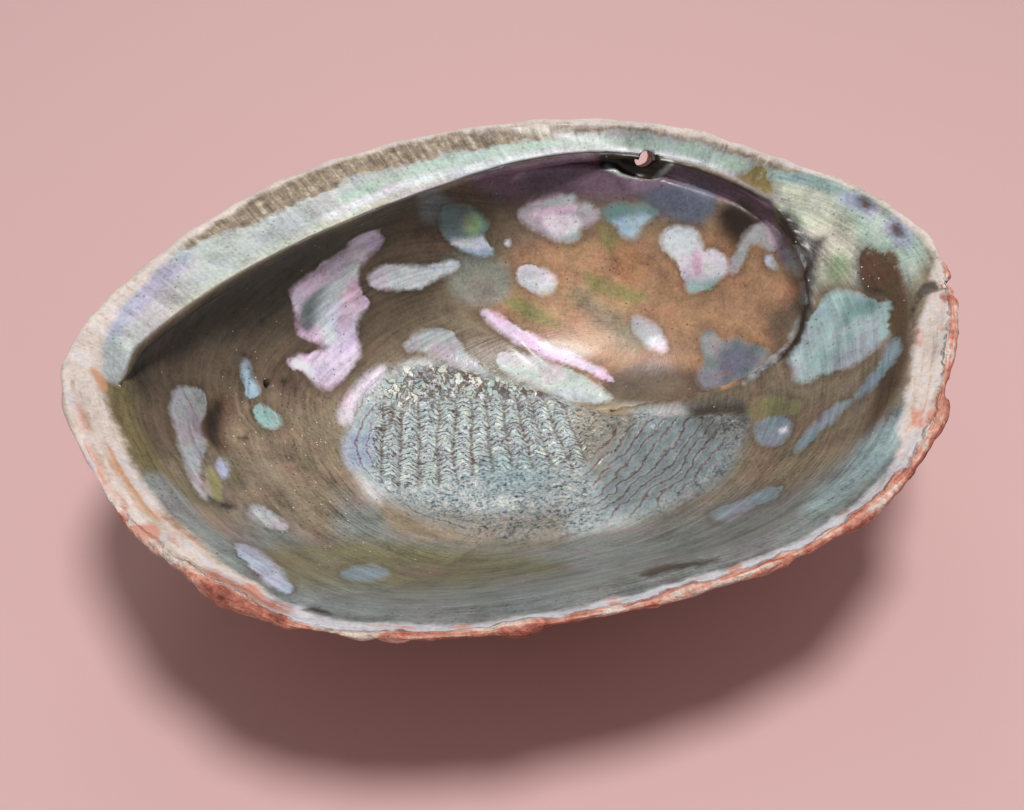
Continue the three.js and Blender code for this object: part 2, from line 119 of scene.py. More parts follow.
def oval(x, y, half_long, half_short, tilt):
    """Eight points round an oval that slopes down to the right by its tilt, in degrees."""
    turn = np.arange(8) * TURN / 8
    long, short = half_long * np.cos(turn), half_short * np.sin(turn)
    slope = math.radians(tilt)
    across = long * math.cos(slope) - short * math.sin(slope)
    down = long * math.sin(slope) + short * math.cos(slope)
    return list(zip(x + across, y + down))


# Hole, pit, crater and crest that only the fine surface shows
HOLE_INSIDE = np.array((46.2, 59.5, 44.4))
CRATER_RADIUS = 4.6
CRATER_DEPTH = 2.4
PIT_PLEATS = 17
CREST = [(-4, 51.5), (0.4, 48.3), (9.2, 41.1), (16.8, 29.8), (24.9, 21.5)]
CREST_RISE = 0.7

# How ragged the lip is, how wide its bone band is in millimetres, and how much brick shows
# at its crest, by bearing about the bowl's middle
RAGGED = [
    (-170, 0.5), (-140, 1.0), (-90, 0.8), (-30, 1.1), (10, 1.0), (40, 0.5), (90, 0.15), (150, 0.2),
]
LIP_BAND = [
    (-175, 8), (-150, 7), (-140, 5.5), (-120, 4), (-90, 3.5), (-60, 3), (-44, 4), (-38, 8), (-20, 8),
    (-13, 4), (-9, 0.6), (90, 0.6), (150, 1.2), (168, 3.5),
]
BRICK_SHARE = [
    (-170, 0.3), (-145, 0.9), (-90, 1), (-30, 1), (-14, 0.9), (0, 0.35), (30, 0.1), (90, 0), (160, 0),
]

# Scar pattern, in millimetres. Its bands follow the outline on the left and slant on the right.
CHEVRON_WIDTH = 4.4
CHEVRON_SLOPE = 0.5
ROW_PITCH = 1.6
BANDS_ACROSS = 19
BAND_SLANT = (0.267, -0.294)
SLANT_FROM = 2
COLUMN_RISE = 0.2
ROW_RISE = 0.1
BAND_RISE = 0.18
REST_RISE = 0.28

# Notch torn in the lip
NOTCH = [(84, -10.8), (95, -12.5)]
NOTCH_DEPTH = 1.8

# How far round a patch its distance is worked out, in the photograph's pixels, and their scale
PATCH_MARGIN = 14
PIXELS_PER_MM = 4.9

# Sizes of the material's noise, in millimetres
MID_SIZE = 2.4
FINE_SIZE = 0.8
BUMP_SIZE = 1.1
BUMP_DEPTH = 0.4

# Shares of the play of colour in the two layers of patches and of the tint in the scar, the
# scar's brightness, and how closely the rings round it lie
FIRST_PLAY = 0.5
SECOND_PLAY = 0.4
SCAR_TINT = 0.8
SCAR_LIGHT = 1.38
RINGS_ACROSS = 34

SHELF_DIM = 0.74
FLOOR_SIZE = 30
FLOOR_COLOUR = (0.80, 0.65, 0.64)

# Colours, as sRGB shares
COLOURS = {
    "bark": (0.20, 0.16, 0.13),
    "umber": (0.36, 0.27, 0.20),
    "peat": (0.30, 0.26, 0.22),
    "earth": (0.43, 0.36, 0.30),
    "drab": (0.56, 0.49, 0.41),
    "moss": (0.47, 0.42, 0.30),
    "olive": (0.47, 0.44, 0.32),
    "gold": (0.52, 0.47, 0.28),
    "tan": (0.68, 0.60, 0.50),
    "copper": (0.71, 0.54, 0.42),
    "amber": (0.78, 0.61, 0.47),
    "orange": (0.74, 0.54, 0.40),
    "fog": (0.66, 0.64, 0.66),
    "plum": (0.47, 0.37, 0.44),
    # Lighter plum: painted light on the wall in the ledge's shadow
    "plum_painted_light": (0.70, 0.56, 0.65),
    "leaf": (0.60, 0.56, 0.37),
    "slate": (0.49, 0.51, 0.53),
    "steel": (0.44, 0.45, 0.52),
    "dusk": (0.50, 0.55, 0.59),
    "mist": (0.62, 0.69, 0.70),
    "ash": (0.74, 0.73, 0.75),
    "stone": (0.52, 0.53, 0.52),
    "smoke": (0.60, 0.59, 0.55),
    "pearl": (0.93, 0.92, 0.96),
    "blush": (0.93, 0.86, 0.91),
    "rose": (0.95, 0.82, 0.91),
    "pink": (0.95, 0.84, 0.95),
    "lavender": (0.73, 0.74, 0.82),
    "sky": (0.72, 0.80, 0.88),
    "aqua": (0.66, 0.77, 0.77),
    "teal": (0.46, 0.56, 0.56),
    "mint": (0.78, 0.86, 0.80),
    "jade": (0.62, 0.72, 0.56),
    "cream": (0.86, 0.85, 0.77),
    "chalk": (0.80, 0.81, 0.80),
    "white": (0.96, 0.96, 0.98),
    "bone": (0.81, 0.75, 0.71),
    "salmon": (0.78, 0.54, 0.46),
    "brick": (0.66, 0.39, 0.33),
    "maroon": (0.42, 0.22, 0.19),
    "rosy": (1.0, 0.87, 0.95),
    "plain": (1.0, 1.0, 1.0),
    "minty": (0.88, 1.0, 0.93),
    "blued": (0.88, 0.93, 1.0),
}

# Sections of the surface, from the inner pole out over the rim and back under, and which of
# them a marking may lie on
SECTIONS = ("wall", "edge", "top", "bowl", "lip", "outer")
WALL, EDGE, TOP, BOWL_RUN, LIP, OUTER = range(len(SECTIONS))
WHERE = {
    "edge": (EDGE,),
    "wall": (WALL,),
    "hollow": (WALL, EDGE, BOWL_RUN),
    "shelf": (TOP, LIP),
    "low": (WALL, TOP, BOWL_RUN),
    "all": (WALL, EDGE, TOP, BOWL_RUN, LIP),
}

# Markings are outlined as the photograph shows them, in its pixels: x,y for each corner.
# Soft zones, each over the ones before: colour, sections, feather, outline.
SOFT_ZONES = [
    ("stone", "all", 30, "200,560 330,500 560,520 760,490 900,400 980,480 800,680 400,700 200,660"),
    ("olive", "all", 12, "250,556 330,538 420,545 540,556 560,574 440,588 330,588 262,580"),
    ("earth", "hollow", 24,
     "95,380 190,290 300,215 420,160 560,130 540,200 470,260 420,330 320,400 230,410 150,470 110,440"),
    # Dark band on the wall under the shelf at the back left: partly the nacre's own brown, partly painted
    # shade under the shelf
    ("peat", "hollow", 22,
     "120,360 200,300 300,230 380,190 440,165 420,215 330,250 280,330 220,350 150,400"),
    ("moss", "hollow", 9, "104,400 112,375 124,380 142,430 168,470 200,500 188,506 150,480 116,440"),
    ("umber", "hollow", 6, "208,410 216,397 227,395 238,404 241,424 236,441 226,453 214,449 208,430"),
    ("bark", "hollow", 5, "209,415 218,402 227,408 226,428 220,446 212,440"),
    ("stone", "hollow", 6,
     "143,478 160,474 178,490 195,508 215,530 240,556 256,576 238,574 215,554 195,537 170,514 150,497"),
    ("drab", "hollow", 14, "235,400 300,395 345,400 335,470 330,540 280,520 240,480"),
    ("copper", "hollow", 18,
     "470,300 520,250 600,236 700,226 790,240 815,320 780,400 690,415 600,400 540,350"),
    ("amber", "hollow", 14, "520,262 560,246 610,252 630,290 625,330 600,350 560,330 530,300"),
    ("tan", "hollow", 10, "575,285 600,300 640,330 640,350 610,335 580,310"),
    ("earth", "hollow", 9, "600,388 640,362 700,372 722,396 690,412 620,406"),
    ("plum", "wall", 12,
     "480,176 500,140 600,120 700,130 800,170 800,240 775,222 740,200 700,190 640,200 590,200 540,196 "
     "500,200"),
    # Lighter plum in the band under the ledge's edge: painted light where the ledge's shadow falls
    ("plum_painted_light", "wall", 4, "488,176 520,164 560,157 592,154 600,164 575,168 540,172 500,182"),
    ("plum_painted_light", "wall", 4,
     "672,166 700,174 735,190 765,210 785,236 790,260 782,262 768,234 742,210 710,192 676,180"),
    ("plum", "edge", 3, "470,178 520,164 593,154 669,162 722,180 770,202 766,222 700,196 593,176 500,192"),
    ("steel", "hollow", 7,
     "640,196 655,188 680,184 705,186 717,196 714,212 702,222 688,224 670,218 652,210"),
    # Pink streak in the plum band: a painted highlight
    ("rose", "hollow", 3, "522,209 530,203 545,198 562,194 558,199 543,204 530,209"),
    ("leaf", "hollow", 7, "598,222 612,232 624,248 634,262 626,268 612,258 602,242"),
    ("leaf", "hollow", 6, "584,272 600,278 618,284 640,292 646,300 630,302 606,296 588,286"),
    ("leaf", "hollow", 7, "500,298 520,298 545,312 562,326 545,326 520,314"),
    ("orange", "hollow", 8, "614,250 640,250 650,268 638,282 616,276"),
    # Dark brown under the right end of the ledge: partly its own brown, partly painted shade under the
    # ledge
    ("umber", "hollow", 9, "718,215 732,202 750,206 762,222 752,240 735,246 722,236"),
    ("bark", "hollow", 7, "722,214 735,205 750,212 755,228 742,238 728,230"),
    ("smoke", "hollow", 8, "444,262 468,255 495,258 512,272 508,295 490,306 466,304 450,288"),
    ("slate", "hollow", 7, "420,200 435,192 450,200 453,214 440,224 424,220"),
    ("earth", "hollow", 10, "768,320 790,300 806,300 800,345 770,385 745,395 752,372 770,350"),
    ("chalk", "shelf", 16,
     "60,380 90,300 200,200 400,110 600,90 760,130 780,200 600,165 420,195 200,320 110,400"),
    ("cream", "shelf", 8, "170,312 250,262 330,218 430,180 430,196 330,236 250,285 180,330"),
    ("lavender", "shelf", 8,
     "102,334 112,312 130,292 150,276 170,262 190,252 188,266 166,284 146,306 124,330 108,346"),
    ("mint", "shelf", 4,
     "340,198 400,172 450,157 520,145 600,138 680,143 744,162 750,172 735,170 680,152 600,144 520,151 "
     "450,164 400,180 345,205"),
    # White band along the shelf: a painted highlight
    ("white", "shelf", 4,
     "330,212 400,183 450,169 520,156 600,148 680,155 730,170 728,175 680,161 600,154 520,163 450,176 "
     "400,191 335,218"),
    ("blush", "shelf", 4, "400,195 450,180 520,166 580,158 520,169 450,184 405,199"),
    ("mint", "shelf", 14,
     "770,180 800,165 850,175 900,215 925,250 900,290 850,300 815,290 812,240 790,205"),
    ("cream", "shelf", 8, "775,185 800,180 830,195 850,215 858,250 850,284 828,288 812,260 800,215"),
    ("lavender", "shelf", 6, "836,196 850,190 868,196 878,208 872,218 858,212 844,206"),
    ("steel", "shelf", 4, "858,198 866,196 872,204 868,210 860,206"),
    ("lavender", "shelf", 7, "886,222 898,215 910,226 914,244 902,248 890,240"),
    ("steel", "shelf", 4, "890,228 898,222 904,232 898,238"),
    ("aqua", "shelf", 5, "776,172 800,176 840,182 838,190 800,184 778,180"),
    ("jade", "shelf", 4, "774,204 790,210 800,222 795,224 784,214"),
    ("jade", "shelf", 9, "824,268 838,254 850,262 844,280 832,284"),
    ("drab", "all", 12,
     "808,290 850,282 905,300 905,350 895,400 860,440 820,470 770,490 745,470 745,410 780,380"),
    ("umber", "all", 6,
     "860,254 880,262 905,284 908,330 905,370 895,398 876,424 862,436 874,396 886,356 893,320 885,300 "
     "862,290"),
    ("mist", "all", 8, "905,408 928,418 890,458 840,500 800,512 846,462"),
    ("bark", "shelf", 5,
     "783,210 796,216 802,230 814,238 826,236 820,252 816,275 812,300 806,330 798,352 786,366 796,330 "
     "801,300 801,270 796,245 787,228"),
    ("chalk", "low", 7,
     "350,425 380,378 430,358 520,382 600,404 700,406 742,408 732,460 690,498 600,532 480,538 392,514 "
     "352,470"),
    ("tan", "low", 8, "575,402 620,404 640,430 636,480 600,488 578,450"),
    ("stone", "low", 10, "630,440 690,410 746,405 744,440 725,480 690,500 640,518 606,508 610,470"),
    ("peat", "low", 8, "690,405 746,403 744,432 726,442 700,430"),
    ("drab", "low", 10, "380,500 430,512 500,520 560,515 560,542 480,545 400,535"),
    ("mist", "low", 8, "478,462 510,456 545,465 545,492 510,500 482,490"),
    ("lavender", "low", 6, "344,440 358,430 372,440 372,468 355,472 344,460"),
    ("blush", "low", 5, "338,415 350,392 366,374 384,366 380,380 362,398 350,424"),
    # Thin dark line along the top of the ledge's rounded face: painted shade where the edge turns down
    ("bark", "edge", 2,
     "300,236 340,217 400,196 440,180 516,160 593,149 669,159 720,175 771,199 771,205 720,181 669,165 "
     "593,155 516,166 440,187 400,202 340,223 300,241"),
    ("bark", "edge", 6,
     "766,190 800,200 818,250 820,300 802,350 760,395 732,390 772,345 792,300 788,250 778,222"),
]

# First layer of crisp patches: colour, sections, outline
FIRST_PATCHES = [
    ("pink", "low",
     "290,293 305,278 325,262 345,250 352,232 368,224 386,210 392,211 386,220 377,230 384,240 366,257 "
     "357,272 361,290 368,303 358,318 356,335 358,352 348,374 328,388 314,381 305,372 291,367 289,361 "
     "300,356 318,351 327,346 312,341 299,333 296,315"),
    ("pearl", "low", "369,276 388,265 423,267 452,261 458,267 436,279 419,288 388,289 371,286"),
    ("teal", "low", "446,207 472,208 487,222 485,238 494,250 488,256 472,255 457,247 444,237 440,226"),
    ("ash", "low",
     "519,210 530,205 545,201 560,196 573,195 577,202 592,205 599,216 590,225 580,229 579,239 570,243 "
     "555,240 540,233 525,224 518,216"),
    ("teal", "low",
     "602,209 615,204 632,205 650,206 659,212 650,220 641,226 638,235 630,238 622,234 617,226 608,220"),
    ("pearl", "low",
     "661,238 668,228 682,226 694,230 700,240 704,250 715,249 724,257 728,268 720,280 712,288 700,291 "
     "690,292 684,280 679,268 673,256 664,250"),
    ("ash", "low",
     "729,268 735,252 742,240 752,228 765,221 777,224 781,233 778,245 772,252 764,248 756,244 750,247 "
     "745,258 740,268 733,273"),
    ("ash", "low", oval(771, 261, 9, 5, 55)),
    ("ash", "low", oval(792, 263, 14, 6, 62)),
    ("pearl", "low", oval(535.5, 279, 20.5, 12.5, 22)),
    ("dusk", "low", "340,574 355,568 372,568 388,574 376,581 354,581"),
    ("earth", "low", "394,571 420,566 446,570 430,577 404,578"),
    ("ash", "low", oval(649, 334, 23, 10.5, 43)),
    ("slate", "low",
     "700,336 711,330 722,340 735,338 755,345 768,352 760,368 745,380 725,388 705,389 697,379 704,362 "
     "702,348"),
    ("pink", "low",
     "480,310 492,312 505,319 520,327 535,335 547,344 566,352 581,358 596,366 606,372 614,381 604,380 "
     "590,373 575,367 560,362 545,358 530,350 515,342 500,332 488,322"),
    ("chalk", "low",
     "500,352 515,352 530,355 545,361 560,367 575,372 590,380 600,388 611,398 600,403 580,401 560,397 "
     "540,388 520,380 505,371 497,361"),
    ("ash", "low",
     "405,345 415,334 430,330 448,330 460,340 465,352 478,362 487,373 470,371 455,365 440,357 425,351 "
     "410,351"),
    ("fog", "low",
     "171,404 176,390 188,386 203,390 209,400 206,415 203,430 206,444 204,455 200,470 203,485 208,499 "
     "198,491 190,475 184,460 180,445 177,430 172,417"),
    ("sky", "low", "243,361 248,363 250,375 256,384 260,392 255,399 247,398 245,388 243,375"),
    ("aqua", "low", "254,407 262,404 270,408 278,414 281,425 272,428 262,425 255,416"),
    ("leaf", "low", oval(214, 484, 18, 8, 75)),
    ("moss", "low", oval(236, 475, 11, 5, 82)),
    ("lavender", "low", oval(223, 468, 10, 6, 60)),
    ("mist", "all",
     "828,296 839,291 860,294 881,303 894,300 890,316 889,334 874,350 860,360 846,369 837,371 821,376 "
     "808,382 796,380 794,369 790,359 801,341 810,319 821,303"),
    ("dusk", "all", "896,338 900,348 890,366 878,383 862,397 855,397 868,380 880,362 888,345"),
    ("dusk", "all", "852,402 842,413 824,429 808,445 795,452 799,441 814,424 834,407"),
    ("dusk", "all", "712,515 730,505 750,496 770,487 781,486 776,495 760,504 740,512 722,519"),
    ("lavender", "low", "236,545 250,547 265,557 280,571 294,590 280,590 262,578 248,565 238,555"),
    ("ash", "low", "250,507 262,507 275,513 288,525 280,529 265,522 254,515"),
    ("dusk", "low", "757,422 772,415 788,418 792,430 782,443 766,446 756,436"),
    ("olive", "low", "750,402 775,398 800,402 798,414 775,418 752,420"),
    ("gold", "shelf",
     "722,176 735,177 750,172 757,164 766,166 767,175 774,186 770,195 758,195 745,189 730,183"),
    ("umber", "shelf",
     "859,252 868,244 880,253 892,248 899,257 902,272 907,295 906,316 896,332 886,326 890,306 884,290 "
     "868,285 860,276"),
]

# Second layer, over the first
# Black ovals for small holes that the mesh does not have: painted shade, as x, y, radius
HOLE_SHADE_SPOTS = [(245, 437, 4.2), (244, 355, 3.4), (284, 382, 3.2), (293, 378, 3.2), (262, 322, 3.8)]
SECOND_PATCHES = [
    # White spot in the pink patch: a painted highlight
    ("white", "low", "289,361 298,358 307,362 313,371 315,381 305,373 295,369"),
    ("white", "low", oval(771, 262, 6, 3, 55)),
    ("umber", "shelf", oval(864, 203, 6, 4, 50)),
    ("umber", "shelf", oval(898, 231, 7, 4, 60)),
    ("bark", "low", "207,498 215,505 226,509 237,509 236,503 226,500 217,499 211,494"),
    # Pale streaks along the ledge's crinkled right edge: painted glints
    ("ash", "all", "795,246 800,250 805,266 801,267 797,256"),
    ("ash", "all", "801,282 805,288 805,302 801,301"),
    ("ash", "all", "800,316 798,328 791,341 788,338 794,326"),
    ("ash", "all", "787,345 779,358 769,367 767,363 776,354"),
    ("ash", "all", "765,367 755,378 744,384 743,380 753,373"),
    ("bark", "hollow", "598,160 604,145 640,138 672,145 676,162 668,174 650,180 628,179 608,172"),
    ("white", "low", oval(508, 243, 3, 3, 0)),
    # Small white oval: a painted glint
    ("white", "low", oval(784, 430, 5, 2.5, -20)),
    ("umber", "low", "374,416 380,409 389,409 394,417 392,427 386,430 388,420 383,415"),
    *[("bark", "low", oval(x, y, radius, 0.8 * radius, 0)) for x, y, radius in HOLE_SHADE_SPOTS],
]

# Soft shades within the patches
FIRST_SHADES = [
    ("slate", "low", 4, "298,324 304,302 322,288 332,288 324,310 310,332"),
    ("slate", "low", 4, "341,300 354,282 362,292 352,322 342,330"),
    ("pearl", "low", 3, "450,241 470,238 484,236 494,250 487,256 472,254 458,249"),
    ("sky", "low", 3, "458,246 474,250 490,248 492,256 472,256"),
    ("jade", "low", 4, "464,216 476,212 482,226 474,236 464,230"),
    ("white", "low", 4, "541,218 556,213 573,217 580,222 576,232 562,236 548,230"),
    ("rose", "low", 3, "530,212 550,208 575,206 570,211 548,214 534,217"),
    # White in the pearly patch: a painted highlight
    ("white", "low", 5, "684,255 696,256 706,252 716,258 716,270 706,276 694,276 687,266"),
    ("rose", "low", 3, "693,250 699,248 702,268 697,276 692,262"),
    ("teal", "all", 5, "846,296 858,297 878,304 872,314 856,318 846,326 840,318"),
    ("fog", "low", 5, "700,338 714,332 722,344 716,356 704,354"),
    ("steel", "low", 6, "724,350 745,348 756,360 742,376 722,380"),
    ("pearl", "low", 8, "318,300 345,270 362,250 360,290 352,330 330,345 318,330"),
    ("rose", "low", 6, "340,300 356,280 362,300 350,330 338,335"),
    ("sky", "low", 5, "612,222 630,216 650,216 644,232 630,242 618,236"),
    ("rose", "low", 5, "765,218 782,222 786,246 770,244"),
    ("aqua", "low", 5, "680,278 700,280 724,276 712,294 690,296"),
    ("white", "low", 4, "648,338 662,336 672,350 662,356 652,350"),
    ("ash", "low", 6, "185,450 200,450 206,480 212,504 196,494"),
]
SECOND_SHADES = [
    ("chalk", "hollow", 1.6,
     "604,166 618,177 632,182 648,182 662,177 673,166 668,165 658,173 646,178 634,178 621,173 610,165"),
]

# Marks over the finished rim, the dark ones painted shade in its cracks and notch: colour, sections,
# outline
RIM_MARKS = [
    # Dark cracks in the front lip and the notch at the right: painted shade in them
    ("bark", "all", "640,574 655,567 675,563 700,559 719,559 713,564 690,568 665,573 648,578"),
    ("bark", "all", "302,611 314,607 326,610 334,616 324,616 312,613"),
    ("bark", "all", "921,286 930,281 941,284 946,289 936,289 928,293 918,305 910,318 912,304"),
    ("orange", "all", "88,370 95,368 104,376 108,386 105,394 99,390 96,380"),
    ("salmon", "all", "133,527 142,522 152,523 161,530 158,537 148,539 138,535"),
    ("brick", "all", "119,495 125,498 129,508 127,514 121,506"),
    ("salmon", "all", "926,416 936,402 944,396 942,410 934,420 926,424"),
    ("brick", "all", "940,296 949,293 953,300 946,304"),
    ("brick", "all", "928,440 938,430 940,436 932,448"),
]

# Soft shades of the bone at the lip
LIP_SHADES = [
    ("ash", "all", 12,
     "270,590 400,604 560,596 700,560 780,540 880,470 920,440 900,500 760,590 560,640 400,650 280,640"),
    ("salmon", "all", 4, "84,440 92,450 99,460 104,472 108,484 112,494 104,488 97,476 90,464"),
    ("salmon", "all", 5, "76,400 84,412 90,428 84,430 78,416"),
    ("orange", "all", 2.5,
     "106,440 112,452 122,468 133,484 146,502 160,512 176,520 195,534 212,549 206,550 190,539 172,527 "
     "155,519 143,509 131,494 119,478 109,460"),
    ("brick", "all", 4,
     "204,566 216,570 232,580 250,588 270,598 292,606 286,612 262,604 240,594 220,584 206,574"),
]

# Where the surface has grit, and the ledge's ridge, where the light specks are painted glints
FLOOR_GRIT = (
    "225,380 300,390 350,400 335,450 345,500 400,545 560,560 740,520 760,560 560,590 350,570 250,520 "
    "220,450"
)
PATCH_GRIT = "857,250 880,250 904,260 908,320 894,336 882,300 860,284"
# The ledge's crinkled ridge: its light specks are painted glints, its dark specks the ridge's own colour
RIDGE_GRIT_AND_GLINTS = "780,205 796,210 812,250 812,300 796,345 760,385 742,384 780,342 797,300 796,250 786,226"

# The smooth hollow under the spire, the rings round the scar, and the parts of the shelf
CAVITY_AREA = "440,300 500,200 600,130 720,130 830,200 830,330 790,400 690,415 600,400 520,350"
RINGED_AREA = "330,440 400,540 560,545 700,510 790,440 860,470 760,560 560,600 400,590 320,520"

MOTTLED_STRIP = (
    "100,330 130,288 165,258 205,240 245,227 285,207 320,194 350,179 400,168 450,153 500,144 550,136 "
    "600,131 650,134 700,142 740,156 770,168 800,172 800,158 760,138 720,124 680,112 600,105 500,108 "
    "400,125 350,140 300,165 250,190 200,218 155,248 118,284"
)
SHELF_AREA = (
    "60,390 80,300 200,180 400,95 600,80 760,110 775,185 755,200 700,172 600,156 500,168 400,200 250,285 "
    "160,345 110,385"
)
# Patterns of the muscle scar
SCAR_ROWS = (
    "374,424 385,408 440,398 500,398 560,404 585,425 596,452 574,472 525,472 470,480 410,493 380,484 "
    "371,452"
)
SCAR_FACETS = "376,380 392,360 430,352 472,362 525,378 562,392 545,404 490,402 430,402 392,412"
SCAR_BANDS = [
    "590,462 604,440 640,426 680,417 712,424 726,444 716,474 680,498 640,520 604,522 592,494",
    "318,420 340,384 368,372 370,395 376,415 368,450 380,490 420,512 470,532 440,560 370,536 325,484",
]


def smooth(low, high, value):
    t = np.clip((value - low) / (high - low), 0, 1)
    return t * t * (3 - 2 * t)


def soft_min(a, b, blend):
    h = np.clip(0.5 + 0.5 * (b - a) / blend, 0, 1)
    return b + (a - b) * h - blend * h * (1 - h)


def soft_max(a, b, blend):
    return -soft_min(-a, -b, blend)


def hump(distance, reach):
    return np.exp(-((distance / reach) ** 2))


def spline(points, count, closed):
    """Points along a smooth curve through given points."""
    p = np.array(points, float)
    spans = len(p) if closed else len(p) - 1
    t = np.linspace(0, spans, count, endpoint=not closed)
    i = np.minimum(np.floor(t).astype(int), spans - 1)
    f = (t - i)[:, None]

    def pick(k):
        return p[k % len(p)] if closed else p[np.clip(k, 0, len(p) - 1)]

    a, b, c, d = pick(i - 1), pick(i), pick(i + 1), pick(i + 2)
    return b + 0.5 * f * (c - a + f * (2 * a - 5 * b + 4 * c - d + f * (3 * (b - c) + d - a)))


def outline_around(points, middle):
    """A closed outline as (bearings, distances, heights) about a middle point."""
    p = spline(points, CURVE_SAMPLES, True)
    offset = p[:, :2] - middle
    bearing = np.arctan2(offset[:, 1], offset[:, 0])
    order = np.argsort(bearing)
    heights = p[order, 2] if p.shape[1] > 2 else np.zeros(len(p))
    return bearing[order], np.hypot(*offset[order].T), heights


def around_turn(knots, bearing):
    """Smooth value between knots (degrees, value) set round a full turn."""
    ring = np.array([*knots, (knots[0][0] + 360, knots[0][1])], float)
    degrees = (np.degrees(bearing) - ring[0, 0]) % 360 + ring[0, 0]
    i = np.clip(np.searchsorted(ring[:, 0], degrees, side="right") - 1, 0, len(ring) - 2)
    share = smooth(ring[i, 0], ring[i + 1, 0], degrees)
    return ring[i, 1] + (ring[i + 1, 1] - ring[i, 1]) * share


RIM_AROUND = outline_around(RIM, BOWL)
SCAR_AROUND = outline_around(SCAR, SCAR_MIDDLE)


def from_bowl(x, y):
    """Bearing, distance, rim distance and rim height about the bowl's middle."""
    bearing = np.arctan2(y - BOWL[1], x - BOWL[0])
    rim_distance = np.interp(bearing, RIM_AROUND[0], RIM_AROUND[1], period=TURN)
    rim_height = np.interp(bearing, RIM_AROUND[0], RIM_AROUND[2], period=TURN)
    return bearing, np.hypot(x - BOWL[0], y - BOWL[1]), rim_distance, rim_height


def outside(x, y):
    """Height of the smooth outside, a dome on its back with a small flat that it lies on."""
    bearing, distance, rim_distance, rim_height = from_bowl(x, y)
    share = distance / (rim_distance + around_turn(BULGE, bearing))
    climb = np.maximum(0, (share - FLAT_SHARE) / (1 - FLAT_SHARE))
    dome = rim_height * climb ** around_turn(STEEPNESS, bearing)
    swell = SPIRE_SWELL * hump(np.hypot(x - SPIRE[0], y - SPIRE[1]), SPIRE_REACH)
    return dome - np.minimum(swell, 0.45 * dome)


def least_inside(x, y):
    """Lowest that the inside may be over the outside."""
    z = outside(x, y)
    return z + LEAST_WALL + 0.12 * z


def inside(x, y):
    """Height of the inside: a bowl, deeper under the spire, up to the bevelled lip."""
    bearing, distance, rim_distance, rim_height = from_bowl(x, y)
    share = distance / (rim_distance - LIP_WIDTH)
    climb = np.maximum(0, (share - FLOOR_SHARE) / (1 - FLOOR_SHARE))
    steepness = around_turn(STEEPNESS, bearing) + 0.25
    bowl = FLOOR_THICKNESS + (rim_height - FLOOR_THICKNESS) * climb ** steepness
    along = ((x - CAVITY_AT[0]) / CAVITY_REACH[0]) ** 2
    across = ((y - CAVITY_AT[1]) / CAVITY_REACH[1]) ** 2
    deep = CAVITY_DEPTH * np.exp(-along - across)
    bevel = rim_height - LIP_BEVEL * np.maximum(0, rim_distance - distance)
    return soft_min(soft_max(bowl - deep, least_inside(x, y), 1.5), bevel, 2)


def ledge_rows():
    """The ledge as rows of bearing about the pole, distance, z, undercut, drop; bearings rise."""
    p = spline(LEDGE, 1200, False)[::-1]
    offset = p[:, :2] - POLE
    bearing = np.unwrap(np.arctan2(offset[:, 1], offset[:, 0]))
    return np.column_stack([bearing, np.hypot(*offset.T), p[:, 2:]])


LEDGE_ROWS = ledge_rows()
LEDGE_TAIL, LEDGE_HEAD = LEDGE_ROWS[0, 0], LEDGE_ROWS[-1, 0]


def ledge_at(bearing):
    """The ledge at a bearing about the pole, or None where the bowl runs smoothly to the rim."""
    angle = (bearing - LEDGE_TAIL) % TURN + LEDGE_TAIL
    if angle > LEDGE_HEAD:
        return None
    bearings, *measures = LEDGE_ROWS.T
    distance, height, undercut, drop = (np.interp(angle, bearings, values) for values in measures)
    head = smooth(0, math.radians(4), LEDGE_HEAD - angle)
    ends = head * smooth(0, math.radians(25), angle - LEDGE_TAIL)
    if drop * ends < LEAST_DROP:
        return None
    low = inside(POLE[0] + distance * math.cos(bearing), POLE[1] + distance * math.sin(bearing))
    spire_side = smooth(math.radians(-75), math.radians(-5), angle)
    return {
        "distance": distance,
        "z": low + (height - low) * ends,
        "undercut": undercut * ends,
        "drop": drop * ends,
        "strength": ends,
        "ramp": spire_side * smooth(0, math.radians(5), LEDGE_HEAD - angle),
    }


def even_steps(r, z, step):
    """A profile cut into about equal steps."""
    along = np.concatenate([[0], np.cumsum(np.hypot(np.diff(r), np.diff(z)))])
    count = max(2, math.ceil(along[-1] / step))
    t = np.linspace(0, along[-1], count + 1)
    return np.column_stack([np.interp(t, along, r), np.interp(t, along, z)])


def bezier(points, count):
    a, b, c, d = (np.array(p, float) for p in points)
    t = np.linspace(0, 1, count + 1)[:, None]
    return (1 - t) ** 3 * a + 3 * t * (1 - t) ** 2 * b + 3 * t * t * (1 - t) * c + t ** 3 * d


def room_under(ledge, at):
    """How far the wall under the ledge can go back before the shell gets too thin."""
    r = np.linspace(ledge["distance"], ledge["distance"] + ledge["undercut"], 25)
    thin = np.nonzero(least_inside(*at(r)) > ledge["z"] - ledge["drop"] - 1)[0]
    if len(thin) == 0:
        return ledge["undercut"]
    return max(0, r[thin[0]] - ledge["distance"] - ledge["undercut"] / 24)


def wall_profile(ledge, wall_at, at):
    """Inside, from the pole out to the wall under the ledge."""
    r = np.linspace(0, wall_at, PROFILE_SAMPLES)
    z = inside(*at(r))
    cap = ledge["z"] - ledge["drop"]
    rise = max(0, cap - 0.6 * ledge["drop"] - z[-1])
    z = z + rise * np.maximum(0, (r - wall_at + WALL_FOOT) / WALL_FOOT) ** 2.4
    z = z + (soft_min(z, cap, 1.5 * ledge["strength"]) - z) * smooth(0.7, 0.95, r / wall_at)
    return even_steps(r, z, INNER_STEP)


